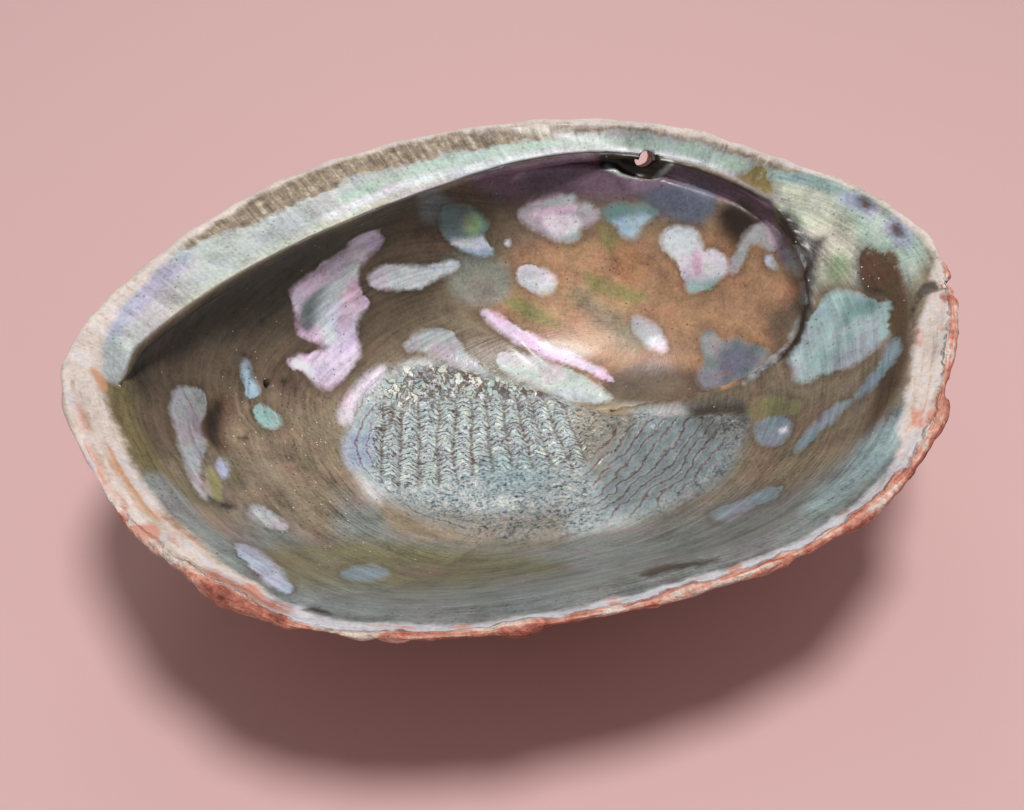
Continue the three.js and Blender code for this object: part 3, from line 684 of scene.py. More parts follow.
def edge_profile(ledge, wall):
    """Underside and round edge of the ledge."""
    tip = min(1.1, 0.32 * ledge["drop"])
    x, z = ledge["distance"] + tip, ledge["z"] - tip
    back = wall[0] - ledge["distance"]
    under = bezier([
        wall,
        (wall[0] + 0.2 * back, wall[1] + 0.7 * (z - tip - wall[1])),
        (ledge["distance"] + 0.6 * back + tip, z - tip),
        (x, z - tip),
    ], 7)
    turn = np.radians(np.linspace(-90, -270, 7))[1:]
    return np.vstack([under, np.column_stack([x + tip * np.cos(turn), z + tip * np.sin(turn)])])


def top_profile(ledge, edge, crest_at, rim_z, at):
    """Top, from the ledge to the crest of the rim."""
    r = np.linspace(edge[0], crest_at, PROFILE_SAMPLES)
    share = (r - edge[0]) / (crest_at - edge[0])
    ramp = edge[1] + (rim_z - edge[1]) * (0.35 * share + 0.65 * share ** 1.6)
    low = inside(*at(r))
    settle = low + (edge[1] - low[0]) * np.exp((edge[0] - r) / 10)
    z = ledge["ramp"] * ramp + (1 - ledge["ramp"]) * settle
    return even_steps(r, z + (rim_z - z[-1]) * smooth(crest_at - 4, crest_at, r), INNER_STEP)


def bowl_profile(crest_at, rim_z, at):
    """Inside of a column without a ledge, from the pole to the crest of the rim."""
    r = np.linspace(0, crest_at, 2 * PROFILE_SAMPLES)
    z = inside(*at(r))
    return even_steps(r, z + (rim_z - z[-1]) * smooth(crest_at - 4, crest_at, r), INNER_STEP)


def column(rim_point):
    """One column of the shell: profiles (section name, points) from the inner pole to the outer."""
    rim_x, rim_y, rim_z = rim_point
    rim_at = math.hypot(rim_x - POLE[0], rim_y - POLE[1])
    heading = (np.array((rim_x, rim_y)) - POLE) / rim_at

    def at(r):
        return POLE[0] + heading[0] * r, POLE[1] + heading[1] * r

    crest_at = rim_at - 0.9
    ledge = ledge_at(math.atan2(heading[1], heading[0]))
    if ledge is None:
        inner = [("bowl", bowl_profile(crest_at, rim_z, at))]
    else:
        wall = wall_profile(ledge, ledge["distance"] + room_under(ledge, at), at)
        edge = edge_profile(ledge, wall[-1])
        inner = [("wall", wall), ("edge", edge), ("top", top_profile(ledge, edge[-1], crest_at, rim_z, at))]
    bulge = float(around_turn(BULGE, math.atan2(rim_y - BOWL[1], rim_x - BOWL[0])))
    outer_at = rim_at + bulge - 1.4
    lip = bezier([
        (crest_at, rim_z), (rim_at + 0.3 * bulge + 0.6, rim_z + 0.1),
        (rim_at + bulge + 0.3, rim_z - 1.2), (outer_at, outside(*at(outer_at))),
    ], 6)
    r = np.linspace(outer_at, 0, 2 * PROFILE_SAMPLES)
    outer = even_steps(r, outside(*at(r)), OUTER_STEP)
    profiles = [*inner, ("lip", lip), ("outer", outer)]
    return [(name, np.column_stack([*at(p[:, 0]), p[:, 1]])) for name, p in profiles]


def rim_points():
    """Rim points at equal distances along the crest."""
    dense = spline(RIM, CURVE_SAMPLES, True)
    dense = np.vstack([dense, dense[:1]])
    along = np.concatenate([[0], np.cumsum(np.hypot(*np.diff(dense[:, :2], axis=0).T))])
    t = np.arange(COLUMNS) / COLUMNS * along[-1]
    return np.column_stack([np.interp(t, along, dense[:, k]) for k in range(3)])


def stitch(p, q, shares_p, shares_q, triangles):
    """Triangles between two runs of points, each with its own rising shares from 0 to 1."""
    i = j = 0
    while i < len(p) - 1 or j < len(q) - 1:
        if j == len(q) - 1 or (i < len(p) - 1 and shares_p[i + 1] <= shares_q[j + 1]):
            corners = (p[i], p[i + 1], q[j])
            i += 1
        else:
            corners = (p[i], q[j + 1], q[j])
            j += 1
        if len(set(corners)) == 3:
            triangles.append(corners)


def refine(triangles, chosen, count):
    """Cuts each chosen triangle in four at its middles, and its neighbours to match. Gives the new
    triangles, and the two ends of the edge that each new point halves."""
    pairs = np.sort(triangles[:, [[0, 1], [1, 2], [2, 0]]], axis=2)
    keys = pairs[..., 0] * count + pairs[..., 1]
    halved = np.unique(keys[chosen])
    found = np.minimum(np.searchsorted(halved, keys), len(halved) - 1)
    middles = np.where(halved[found] == keys, count + found, -1)
    finer = []
    for corners, cuts in zip(triangles.tolist(), middles.tolist()):
        number = sum(cut >= 0 for cut in cuts)
        if number == 0:
            finer.append(corners)
            continue
        while (number == 1 and cuts[0] < 0) or (number == 2 and cuts[2] >= 0):
            corners, cuts = corners[1:] + corners[:1], cuts[1:] + cuts[:1]
        (a, b, c), (ab, bc, ca) = corners, cuts
        if number == 1:
            finer += [(a, ab, c), (ab, b, c)]
        elif number == 2:
            finer += [(ab, b, bc), (a, ab, bc), (a, bc, c)]
        else:
            finer += [(a, ab, ca), (ab, b, bc), (ca, bc, c), (ab, bc, ca)]
    return np.array(finer), np.column_stack([halved // count, halved % count])


def smooth_shell():
    """Closed mesh of the smooth shell. Each point has its section, its reach (distance along the
    profile from the crest, negative inside) and the place on the rim where its column ends."""
    points, sections, reaches, rims, triangles = [], [], [], [], []

    def add(p, section, reach, rim):
        points.append(p)
        sections.append(SECTIONS.index(section))
        reaches.append(reach)
        rims.append(rim)
        return len(points) - 1

    inner_pole = add((*POLE, float(inside(*POLE))), "wall", -90, (0, 0))
    outer_pole = add((*POLE, float(outside(*POLE))), "outer", 90, (0, 0))
    columns = []
    for rim_point in rim_points():
        profiles = column(rim_point)
        joined = np.vstack([profile for _, profile in profiles])
        along = np.concatenate([[0], np.cumsum(np.linalg.norm(np.diff(joined, axis=0), axis=1))])
        inner_count = sum(len(profile) for name, profile in profiles if name not in ("lip", "outer"))
        reach = along - along[inner_count - 1]
        runs, last, start = {}, inner_pole, 0
        for name, profile in profiles:
            stop = len(profile) - (1 if name == "outer" else 0)
            rim = tuple(rim_point[:2])
            fresh = [add(tuple(profile[k]), name, reach[start + k], rim) for k in range(1, stop)]
            runs[name] = [last, *fresh] + ([outer_pole] if name == "outer" else [])
            last = runs[name][-1]
            start += len(profile)
        columns.append(runs)

    def stitch_evenly(p, q):
        stitch(p, q, np.linspace(0, 1, len(p)), np.linspace(0, 1, len(q)), triangles)

    def reach_shares(run):
        away = np.array([math.dist(points[k][:2], POLE) for k in run])
        return away / away[-1]

    def inner_run(runs):
        parts = [runs[name] for name in ("wall", "edge", "top", "bowl") if name in runs]
        return parts[0] + [k for part in parts[1:] for k in part[1:]]

    for here, after in zip(columns, columns[1:] + columns[:1]):
        if "edge" in here and "edge" in after:
            for name in ("wall", "edge", "top"):
                stitch_evenly(here[name], after[name])
        else:
            p, q = inner_run(here), inner_run(after)
            stitch(p, q, reach_shares(p), reach_shares(q), triangles)
        for name in ("lip", "outer"):
            stitch_evenly(here[name], after[name])
    points, sections, reaches, rims = (np.array(values) for values in (points, sections, reaches, rims))
    triangles = np.array(triangles)
    middles = points[triangles].mean(axis=1)
    on_scar = scar_share(middles[:, 0], middles[:, 1]) < 1
    chosen = on_scar & np.all(sections[triangles] != OUTER, axis=1)
    triangles, ends = refine(triangles, chosen, len(points))
    points, reaches, rims = (np.concatenate([v, v[ends].mean(axis=1)]) for v in (points, reaches, rims))
    return points, np.concatenate([sections, sections[ends[:, 0]]]), reaches, rims, triangles


def vertex_normals(points, triangles):
    a, b, c = (points[triangles[:, k]] for k in range(3))
    face = np.cross(b - a, c - a)
    normals = np.zeros_like(points)
    for k in range(3):
        np.add.at(normals, triangles[:, k], face)
    return normals / np.linalg.norm(normals, axis=1)[:, None]


def wobble(x, y, wavelength, seed):
    """Slow wobble between -1 and 1, made of crossing waves."""
    total = 0
    for i in range(4):
        heading = seed + i * 2.4
        stretch = TURN / (wavelength * (1 + 0.23 * i))
        along = x * math.cos(heading) + y * math.sin(heading)
        total = total + np.sin(along * stretch + seed * (i + 1.7))
    return total / 4


def rough(points, size, seed):
    """Natural roughness between about -1 and 1, with lumps of a size."""
    offset = Vector((seed * 31.7, seed * 17.3, seed * 7.1))
    return np.array([noise.noise(Vector(p) / size + offset) for p in points])


def line_distance(x, y, line):
    """Distance in plan from a line of points."""
    p = np.array(line, float)
    best = np.full(len(x), 1e9)
    for (ax, ay), (bx, by) in zip(p[:-1], p[1:]):
        length = (bx - ax) ** 2 + (by - ay) ** 2
        t = np.clip(((x - ax) * (bx - ax) + (y - ay) * (by - ay)) / length, 0, 1)
        best = np.minimum(best, np.hypot(x - ax - t * (bx - ax), y - ay - t * (by - ay)))
    return best


def scar_share(x, y):
    """Distance from the scar's middle as a share of its outline's."""
    bearing = np.arctan2(y - SCAR_MIDDLE[1], x - SCAR_MIDDLE[0])
    edge = np.interp(bearing, SCAR_AROUND[0], SCAR_AROUND[1], period=TURN)
    return np.hypot(x - SCAR_MIDDLE[0], y - SCAR_MIDDLE[1]) / edge


def scar_grid(points):
    """Places across and along the columns of the muscle scar, which lean and spread to the right."""
    x, y, _ = points.T
    right = view_axes()[0]
    u = x * right[0] + y * right[1]
    v = y * right[0] - x * right[1]
    u = u + (0.05 + 0.25 * smooth(-15, 12, u)) * (v - SCAR_MIDDLE[1])
    u = u + 0.9 * rough(points, 9, 31) + 0.35 * rough(points, 3, 33)
    return u, v + 1.2 * rough(points, 8, 32) + 0.4 * rough(points, 3.3, 34)


def scar_relief(points, share):
    """Fine relief of the muscle scar: columns and rows of chevrons, and the steps of its bands."""
    places = seen(points)
    rows_here = smooth(-1, 1, field(places, SCAR_ROWS))
    bands_here = smooth(-1, 1, np.maximum(*(field(places, zone) for zone in SCAR_BANDS)))
    u, v = scar_grid(points)
    stripe = np.abs(u / CHEVRON_WIDTH % 1 - 0.5)
    rows = (v + stripe * CHEVRON_WIDTH * CHEVRON_SLOPE) / ROW_PITCH
    chevrons = COLUMN_RISE * np.cos(TURN * stripe) + ROW_RISE * np.sin(TURN * rows)
    bands = np.where(u > SLANT_FROM, u * BAND_SLANT[0] + v * BAND_SLANT[1], share * BANDS_ACROSS)
    steps = BAND_RISE * (bands % 1 - 0.5)
    rest = (1 - np.maximum(rows_here, bands_here)) * REST_RISE * rough(points, 1.5, 35)
    return rows_here * chevrons + bands_here * steps + rest


def inside_relief(points, sections):
    x, y, z = points.T
    share = scar_share(x, y)
    scar = smooth(1.06, 0.88, share)
    away = np.hypot(x - PIT_AT[0], y - PIT_AT[1])
    pit = hump(away, PIT_RADIUS)
    pleats = np.sin(PIT_PLEATS * np.arctan2(y - PIT_AT[1], x - PIT_AT[0]))
    pit_rim = hump(away - 1.35 * PIT_RADIUS, 1.3)
    crest = hump(line_distance(x, y, CREST), 1.7)
    from_hole = np.linalg.norm(points - HOLE_INSIDE, axis=1)
    crater_rim = 0.5 * hump(from_hole - 1.45 * CRATER_RADIUS, 1.2)
    crater = hump(from_hole, CRATER_RADIUS) * CRATER_DEPTH - crater_rim
    lumps = 0.45 * rough(points, 2.6, 1) + 0.35 * rough(points, 5.5, 2)
    relief = scar * (SCAR_RISE + 0.5 * wobble(x, y, 11, 1) + lumps) + 0.45 * wobble(x, y, 30, 2)
    fine = np.nonzero((share < 1.06) & (sections != EDGE))[0]
    relief[fine] += scar[fine] * scar_relief(points[fine], share[fine])
    relief += CREST_RISE * crest - PIT_DEPTH * pit + 0.25 * pit_rim + 0.22 * pleats * pit_rim
    relief -= np.where(sections == WALL, crater, 0)
    return relief + (1 - scar) * 0.3 * rough(points, 9, 3)


def outside_relief(points):
    x, y, z = points.T
    away = np.hypot(x - SPIRE[0], y - SPIRE[1])
    bearing = np.arctan2(y - SPIRE[1], x - SPIRE[0])
    growth = np.sin(away * TURN / 13 + 2 * wobble(x, y, 55, 3))
    fine_growth = np.sin(away * TURN / 4.3 + 3 * wobble(x, y, 40, 7))
    coil = np.cos(2 * TURN * np.log((away + 6) / 6) / 2.6 - bearing)
    coil_reach = smooth(42, 14, away)
    relief = 0.55 * growth * (1 - coil_reach) + 1.1 * coil * coil_reach + 0.5 * wobble(x, y, 17, 4)
    relief += 0.25 * fine_growth + 0.5 * rough(points, 6, 4) + 0.3 * rough(points, 2.5, 5)
    for at_x, at_y, height in COLLARS:
        relief = relief + height * hump(np.hypot(x - at_x, y - at_y), COLLAR_RADIUS)
    return relief * smooth(0.5, 5, z)


def lip_lumps(x, y):
    return sum(
        height * hump(np.hypot(x - at_x, y - at_y), reach) for at_x, at_y, height, reach in LIP_LUMPS
    )


def relief(points, sections, ragged):
    """How far each point of the smooth shell moves out along its normal."""
    x, y, z = points.T
    _, distance, rim_distance, _ = from_bowl(x, y)
    near_rim = smooth(1, 6, rim_distance - distance)
    inner = inside_relief(points, sections) * near_rim
    crinkle = 0.5 * rough(points, 2.2, 8) * (sections == EDGE) * smooth(52, 44, z)
    outer = outside_relief(points) + lip_lumps(x, y) * smooth(34, 44, z)
    lip = 0.4 * wobble(x, y, 9, 5) + lip_lumps(x, y)
    torn = ragged * (0.9 * rough(points, 7, 9) + 0.6 * rough(points, 2.8, 10))
    torn = torn - NOTCH_DEPTH * hump(line_distance(x, y, NOTCH), 1.1)
    lift = np.select([sections == OUTER, sections == LIP], [outer, lip], inner + crinkle)
    return lift + torn * smooth(7, 0, np.abs(rim_distance - distance)) * smooth(40, 48, z)


# The photograph's camera, in the frame that the shape is drawn in
FIELD_OF_VIEW = math.radians(45)
VIEW_ELEVATION = math.radians(45.5)
VIEW_AZIMUTH = math.radians(-15)
VIEW_TARGET = np.array((-10.0, -22.5, 53.0))
VIEW_DISTANCE = 243.0
SENSOR_WIDTH = 36
PHOTO_MIDDLE = np.array((512.0, 405.0))


def view_axes():
    back = np.array((
        math.sin(VIEW_AZIMUTH) * math.cos(VIEW_ELEVATION),
        -math.cos(VIEW_AZIMUTH) * math.cos(VIEW_ELEVATION),
        math.sin(VIEW_ELEVATION),
    ))
    right = np.array((math.cos(VIEW_AZIMUTH), math.sin(VIEW_AZIMUTH), 0.0))
    return right, np.cross(back, right), back


def seen(points):
    """Where points are in the photograph, in its pixels."""
    right, up, back = view_axes()
    offset = points - (VIEW_TARGET + VIEW_DISTANCE * back)
    scale = PHOTO_MIDDLE[0] / math.tan(FIELD_OF_VIEW / 2) / -(offset @ back)
    return PHOTO_MIDDLE + np.column_stack([offset @ right * scale, -(offset @ up) * scale])


def corners(outline):
    """Corners of an outline, from a list or from text of x,y pairs."""
    if isinstance(outline, str):
        return [tuple(map(float, pair.split(","))) for pair in outline.split()]
    return outline


def signed_distance(places, outline, margin):
    """How far inside a closed smooth outline places are; -margin is the least."""
    points = corners(outline)
    loop = spline(points, 8 * len(points), True)
    distance = np.full(len(places), -float(margin))
    close = (places > loop.min(0) - margin) & (places < loop.max(0) + margin)
    near = np.nonzero(np.all(close, axis=1))[0]
    x, y = places[near].T
    best = np.full(len(near), 1e9)
    within = np.zeros(len(near), bool)
    for (ax, ay), (bx, by) in zip(loop, np.roll(loop, -1, axis=0)):
        length = (bx - ax) ** 2 + (by - ay) ** 2 + 1e-9
        t = np.clip(((x - ax) * (bx - ax) + (y - ay) * (by - ay)) / length, 0, 1)
        best = np.minimum(best, (x - ax - t * (bx - ax)) ** 2 + (y - ay - t * (by - ay)) ** 2)
        if ay != by:
            within ^= ((ay > y) != (by > y)) & (x < (bx - ax) * (y - ay) / (by - ay) + ax)
    distance[near] = np.maximum(-margin, np.where(within, 1, -1) * np.sqrt(best))
    return distance


def field(places, outline, allowed=True):
    """How far inside an outline places are, in millimetres, where it is allowed."""
    distance = np.where(allowed, signed_distance(places, outline, PATCH_MARGIN), -PATCH_MARGIN)
    return distance / PIXELS_PER_MM


def linear(colour):
    return tuple(c ** 2.2 for c in colour)


def paint(places, kinds, zones, colour):
    """Lays soft zones of colour over each other."""
    for name, where, feather, outline in zones:
        distance = signed_distance(places, outline, feather)
        share = smooth(-feather, feather, distance) * np.isin(kinds, WHERE[where])
        colour = colour + (np.array(linear(COLOURS[name])) - colour) * share[:, None]
    return colour


def patches(places, kinds, zones):
    """Nearest patch of a layer: signed distance in millimetres, and its colour."""
    best = np.full(len(places), -PATCH_MARGIN)
    colour = np.zeros((len(places), 3))
    for name, where, outline in zones:
        distance = signed_distance(places, outline, PATCH_MARGIN)
        distance[~np.isin(kinds, WHERE[where])] = -PATCH_MARGIN
        nearer = distance > best
        best[nearer] = distance[nearer]
        colour[nearer] = linear(COLOURS[name])
    return best / PIXELS_PER_MM, colour


def new_mesh(name, points, triangles):
    mesh = bpy.data.meshes.new(name)
    mesh.from_pydata(points.tolist(), [], triangles.tolist())
    mesh.update()
    shape = bpy.data.objects.new(name, mesh)
    bpy.context.scene.collection.objects.link(shape)
    return shape


def add_attribute(mesh, name, values):
    """Values for each point: one, three, or a colour of three."""
    if values.ndim == 1:
        attribute = mesh.attributes.new(name, "FLOAT", "POINT")
        attribute.data.foreach_set("value", values.astype(np.float32))
    elif name.endswith("tint"):
        attribute = mesh.attributes.new(name, "FLOAT_COLOR", "POINT")
        filled = np.column_stack([values, np.ones(len(values))])
        attribute.data.foreach_set("color", filled.astype(np.float32).ravel())
    else:
        attribute = mesh.attributes.new(name, "FLOAT_VECTOR", "POINT")
        attribute.data.foreach_set("vector", values.astype(np.float32).ravel())


def drill(shape, hole, length):
    """Bores a round hole through a shape."""
    toward = Vector(hole["toward"]).normalized()
    middle = Vector((Vector(hole["at"]) + Vector(TO_ORIGIN)) * MM)
    radius = hole["radius"] * MM
    bpy.ops.mesh.primitive_cylinder_add(vertices=32, radius=radius, depth=length * MM, location=middle)
    tool = bpy.context.object
    tool.rotation_euler = toward.to_track_quat("Z", "Y").to_euler()
    cut = shape.modifiers.new("bore", "BOOLEAN")
    cut.operation = "DIFFERENCE"
    cut.solver = "EXACT"
    cut.object = tool
    bpy.context.view_layer.objects.active = shape
    bpy.ops.object.modifier_apply(modifier=cut.name)
    bpy.data.objects.remove(tool)


def beside_ledge(x, y):
    """Distance along the ledge's line of the point nearest to each place, and distance from it."""
    line = spline(LEDGE, 1200, False)[:, :2]
    along = np.concatenate([[0], np.cumsum(np.hypot(*np.diff(line, axis=0).T))])
    tree = kdtree.KDTree(len(line))
    for k, (line_x, line_y) in enumerate(line):
        tree.insert((line_x, line_y, 0), k)
    tree.balance()
    found = [tree.find((place_x, place_y, 0))[1:] for place_x, place_y in zip(x, y)]
    return along[[k for k, _ in found]], np.array([distance for _, distance in found])


def ground_flow(points, sections, reach, rims, on_shelf):
    """Places for the grain, which runs along the rim, and across it on the shelf."""
    squeeze = np.where((sections == OUTER)[:, None], (0.05, 0.05, 0.3), (0.05, 0.05, 0.75))
    along_ledge, from_ledge = beside_ledge(points[:, 0], points[:, 1])
    striations = np.column_stack([along_ledge * 0.8, np.zeros(len(points)), from_ledge * 0.06])
    return np.where(on_shelf[:, None], striations, np.column_stack([rims, reach]) * squeeze)


def marking_fields(points, sections, reach, rims):
    """Attributes for the material, worked out where the smooth shell's points are."""
    x, y, _ = points.T
    places = seen(points)
    bearing = np.arctan2(y - BOWL[1], x - BOWL[0])
    on_top = np.isin(sections, (TOP, LIP))
    on_shelf = field(places, SHELF_AREA, sections == TOP) > 0
    first, first_tint = patches(places, sections, FIRST_PATCHES)
    second, second_tint = patches(places, sections, SECOND_PATCHES)
    third, third_tint = patches(places, sections, RIM_MARKS)
    bands = np.maximum(*(field(places, zone) for zone in SCAR_BANDS))
    scar = np.where(np.isin(sections, (WALL, TOP, BOWL_RUN)), scar_share(x, y), 3)
    u, v = scar_grid(points)
    cloud = 0.7 * rough(points, 7, 21) + 0.35 * rough(points, 3.5, 22)
    hue = 0.8 * rough(points, 10, 23) + 0.4 * rough(points, 4.5, 24)
    blotch = 0.8 * rough(points, 14, 25) + 0.4 * rough(points, 5, 26)
    spots = rough(np.column_stack([rims * 0.2, reach * 0.45]), 1, 27)
    streaky = np.where(on_shelf, 0.22, 0.34)
    streaky = streaky + (0.1 - streaky) * smooth(-1.5, 1.5, field(places, CAVITY_AREA, ~on_top))
    rings = smooth(-2, 2, field(places, RINGED_AREA)) * smooth(0.8, 0.95, scar)
    gritty = np.maximum.reduce([
        field(places, FLOOR_GRIT, ~on_top),
        field(places, RIDGE_GRIT_AND_GLINTS, sections == EDGE),
        field(places, PATCH_GRIT, on_top),
    ])
    tint = paint(places, sections, SOFT_ZONES, np.tile(linear(COLOURS["drab"]), (len(points), 1)))
    bare_bone = np.tile(linear(COLOURS["bone"]), (len(points), 1))
    lip_reach = reach + around_turn(LIP_BAND, bearing)
    mottle = field(places, MOTTLED_STRIP, on_top)
    return {
        "tint": tint * np.where(sections == TOP, SHELF_DIM, 1)[:, None],
        "first_tint": paint(places, sections, FIRST_SHADES, first_tint),
        "second_tint": paint(places, sections, SECOND_SHADES, second_tint),
        "third_tint": third_tint,
        "lip_tint": paint(places, sections, LIP_SHADES, bare_bone),
        "marks": np.column_stack([first, second, third]),
        "reach": np.column_stack([reach, lip_reach, scar]),
        "scar_zones": np.column_stack([field(places, SCAR_ROWS), bands, field(places, SCAR_FACETS)]),
        "scar_place": np.column_stack([u, v, mottle]),
        "flow": ground_flow(points, sections, reach, rims, on_shelf),
        "clouds": np.column_stack([cloud, hue, blotch]),
        "extras": np.column_stack([around_turn(BRICK_SHARE, bearing), gritty, spots]),
        "streaks": np.column_stack([streaky, rings, np.where(on_shelf, 0.35, 0.3)]),
    }


PARTS = ("nacre", "scar", "crust")
NACRE_PART, SCAR_PART, CRUST_PART = range(len(PARTS))


def face_part(parts):
    """Part of a face from the parts of its corners: crust only where all of them are crust."""
    if max(parts) == CRUST_PART:
        return int(min(parts))
    return int(max(parts))


def make_shell():
    points, sections, reach, rims, triangles = smooth_shell()
    bearing = np.arctan2(points[:, 1] - BOWL[1], points[:, 0] - BOWL[0])
    lift = relief(points, sections, around_turn(RAGGED, bearing))
    moved = points + vertex_normals(points, triangles) * lift[:, None] + TO_ORIGIN
    moved[:, 2] = np.maximum(0, moved[:, 2])
    fields = marking_fields(points, sections, reach, rims)
    shell = new_mesh("abalone_shell", moved * MM, triangles)
    tree = kdtree.KDTree(len(moved))
    for k, p in enumerate(moved * MM):
        tree.insert(p, k)
    tree.balance()
    drill(shell, OPEN_HOLE, 30)
    drill(shell, SLIT_HOLE, 16)
    nearest = np.array([tree.find(v.co)[1] for v in shell.data.vertices])
    for name, values in fields.items():
        add_attribute(shell.data, name, values[nearest])
    shell.data.shade_smooth()
    for name in PARTS:
        shell.data.materials.append(shell_material(name))
    from_rim, _, scar = fields["reach"][nearest].T
    part = np.where(scar < 1.12, SCAR_PART, NACRE_PART)
    part[(sections[nearest] == OUTER) & (from_rim > 9)] = CRUST_PART
    face_parts = [face_part(part[list(face.vertices)]) for face in shell.data.polygons]
    shell.data.polygons.foreach_set("material_index", face_parts)
    return shell


class Value:
    """A number or colour that a material's nodes work out, with the usual operators."""

    def __init__(self, graph, socket):
        self.graph = graph
        self.socket = socket

    def __add__(self, other):
        return self.graph.math("ADD", self, other)

    def __sub__(self, other):
        return self.graph.math("SUBTRACT", self, other)

    def __rsub__(self, other):
        return self.graph.math("SUBTRACT", other, self)

    def __mul__(self, other):
        return self.graph.math("MULTIPLY", self, other)

    def __truediv__(self, other):
        return self.graph.math("DIVIDE", self, other)

    __radd__ = __add__


class Graph:
    """Short ways to write a material's nodes. An input is a Value, a number or a colour."""

    def __init__(self, name):
        self.material = bpy.data.materials.new(name)
        self.material.use_nodes = True
        self.tree = self.material.node_tree
        self.shader = self.tree.nodes["Principled BSDF"]

    def node(self, kind, *inputs, **settings):
        node = self.tree.nodes.new("ShaderNode" + kind)
        for key, value in settings.items():
            setattr(node, key, value)
        for socket, value in zip(node.inputs, inputs):
            self.put(socket, value)
        return node

    def put(self, socket, value):
        if isinstance(value, str):
            value = linear(COLOURS[value])
        if isinstance(value, Value):
            self.tree.links.new(value.socket, socket)
        elif socket.type == "RGBA":
            socket.default_value = (*value, 1)
        else:
            socket.default_value = value

    def out(self, node, name=0):
        return Value(self, node.outputs[name])

    def attribute(self, name, output="Vector"):
        return self.out(self.node("Attribute", attribute_name=name), output)

    def split(self, vector):
        node = self.node("SeparateXYZ", vector)
        return [self.out(node, k) for k in range(3)]

    def math(self, operation, a, b=0.0):
        return self.out(self.node("Math", a, b, operation=operation))

    def fraction(self, value):
        return self.math("FRACT", value)

    def scale(self, colour, factor):
        node = self.node("VectorMath", colour, operation="SCALE")
        self.put(node.inputs["Scale"], factor)
        return self.out(node)

    def step(self, low, high, value):
        """Smooth rise from 0 to 1 between two numbers."""
        node = self.node("MapRange", value, low, high, interpolation_type="SMOOTHSTEP", clamp=True)
        return self.out(node, "Result")

    def fall(self, low, high, value):
        """Smooth fall from 1 to 0 between two numbers."""
        return 1.0 - self.step(low, high, value)

    def spread(self, value, low, high):
        """A value from 0 to 1 spread between two numbers."""
        return value * (high - low) + low

    def noise(self, place, size, detail, roughness, output="Fac"):
        node = self.node("TexNoise")
        self.put(node.inputs["Vector"], place)
        self.put(node.inputs["Scale"], 1 / size)
        self.put(node.inputs["Detail"], detail)
        self.put(node.inputs["Roughness"], roughness)
        return self.out(node, output)

    def cells(self, place, *outputs, feature="F1"):
        """Outputs of a pattern of cells about 1 wide."""
        node = self.node("TexVoronoi", feature=feature)
        self.put(node.inputs["Vector"], place)
        self.put(node.inputs["Scale"], 1.0)
        return [self.out(node, name) for name in outputs]

    def mix(self, share, a, b, blend="MIX"):
        return self.out(self.node("MixRGB", share, a, b, blend_type=blend))

    def ramp(self, value, *stops):
        """Colours between stops of (place, colour name)."""
        node = self.node("ValToRGB", value)
        elements = node.color_ramp.elements
        while len(elements) < len(stops):
            elements.new(0.5)
        for element, (place, name) in zip(elements, stops):
            element.position = place
            element.color = (*linear(COLOURS[name]), 1)
        return self.out(node)

    def finish(self, colour, height, roughness, coat, coat_roughness):
        """Sets the shader's colour, the height of its bump, and how it shines."""
        bump = self.node("Bump")
        self.put(bump.inputs["Strength"], 0.6)
        self.put(bump.inputs["Distance"], BUMP_DEPTH * MM)
        self.put(bump.inputs["Height"], height)
        self.put(self.shader.inputs["Normal"], self.out(bump, "Normal"))
        self.put(self.shader.inputs["Base Color"], colour)
        self.put(self.shader.inputs["Roughness"], roughness)
        self.put(self.shader.inputs["Coat Weight"], coat)
        self.put(self.shader.inputs["Coat Roughness"], coat_roughness)


def surface_values(g):
    """What the looks of the shell's parts share: the surface's attributes, and noise."""
    s = SimpleNamespace()
    coordinates = g.node("TexCoord")
    s.place = g.scale(g.out(coordinates, "Object"), 1 / MM)
    s.flow = g.attribute("flow")
    s.reach, s.lip, s.scar = g.split(g.attribute("reach"))
    s.cloud, s.hue, s.blotch = g.split(g.attribute("clouds"))
    s.brick_share, s.grit, s.spots = g.split(g.attribute("extras"))
    s.streaky, s.rings, s.play_share = g.split(g.attribute("streaks"))
    s.first, s.second, s.third = g.split(g.attribute("marks"))
    s.rows, s.bands, s.facets = g.split(g.attribute("scar_zones"))
    s.u, s.v, s.mottle = g.split(g.attribute("scar_place"))
    s.grain = g.noise(s.flow, 1.0, 4.0, 0.62)
    s.mid = g.split(g.noise(s.place, MID_SIZE, 3.0, 0.6, "Color"))
    s.fine = g.split(g.noise(s.place, FINE_SIZE, 2.5, 0.65, "Color"))
    s.fray = g.spread(s.mid[0], -0.9, 0.9) + g.spread(s.fine[0], -0.3, 0.3)
    s.play = g.ramp(
        s.hue * 0.8 + s.mid[0] * 0.6 + 0.2,
        (0.15, "rosy"), (0.42, "plain"), (0.6, "minty"), (0.85, "blued"),
    )
    return s


def chevron_place(g, s):
    """Distance from the middle of a column of chevrons, and height along it."""
    stripe = g.math("ABSOLUTE", g.fraction(s.u * (1 / CHEVRON_WIDTH)) - 0.5)
    return stripe, s.v + stripe * (CHEVRON_WIDTH * CHEVRON_SLOPE)


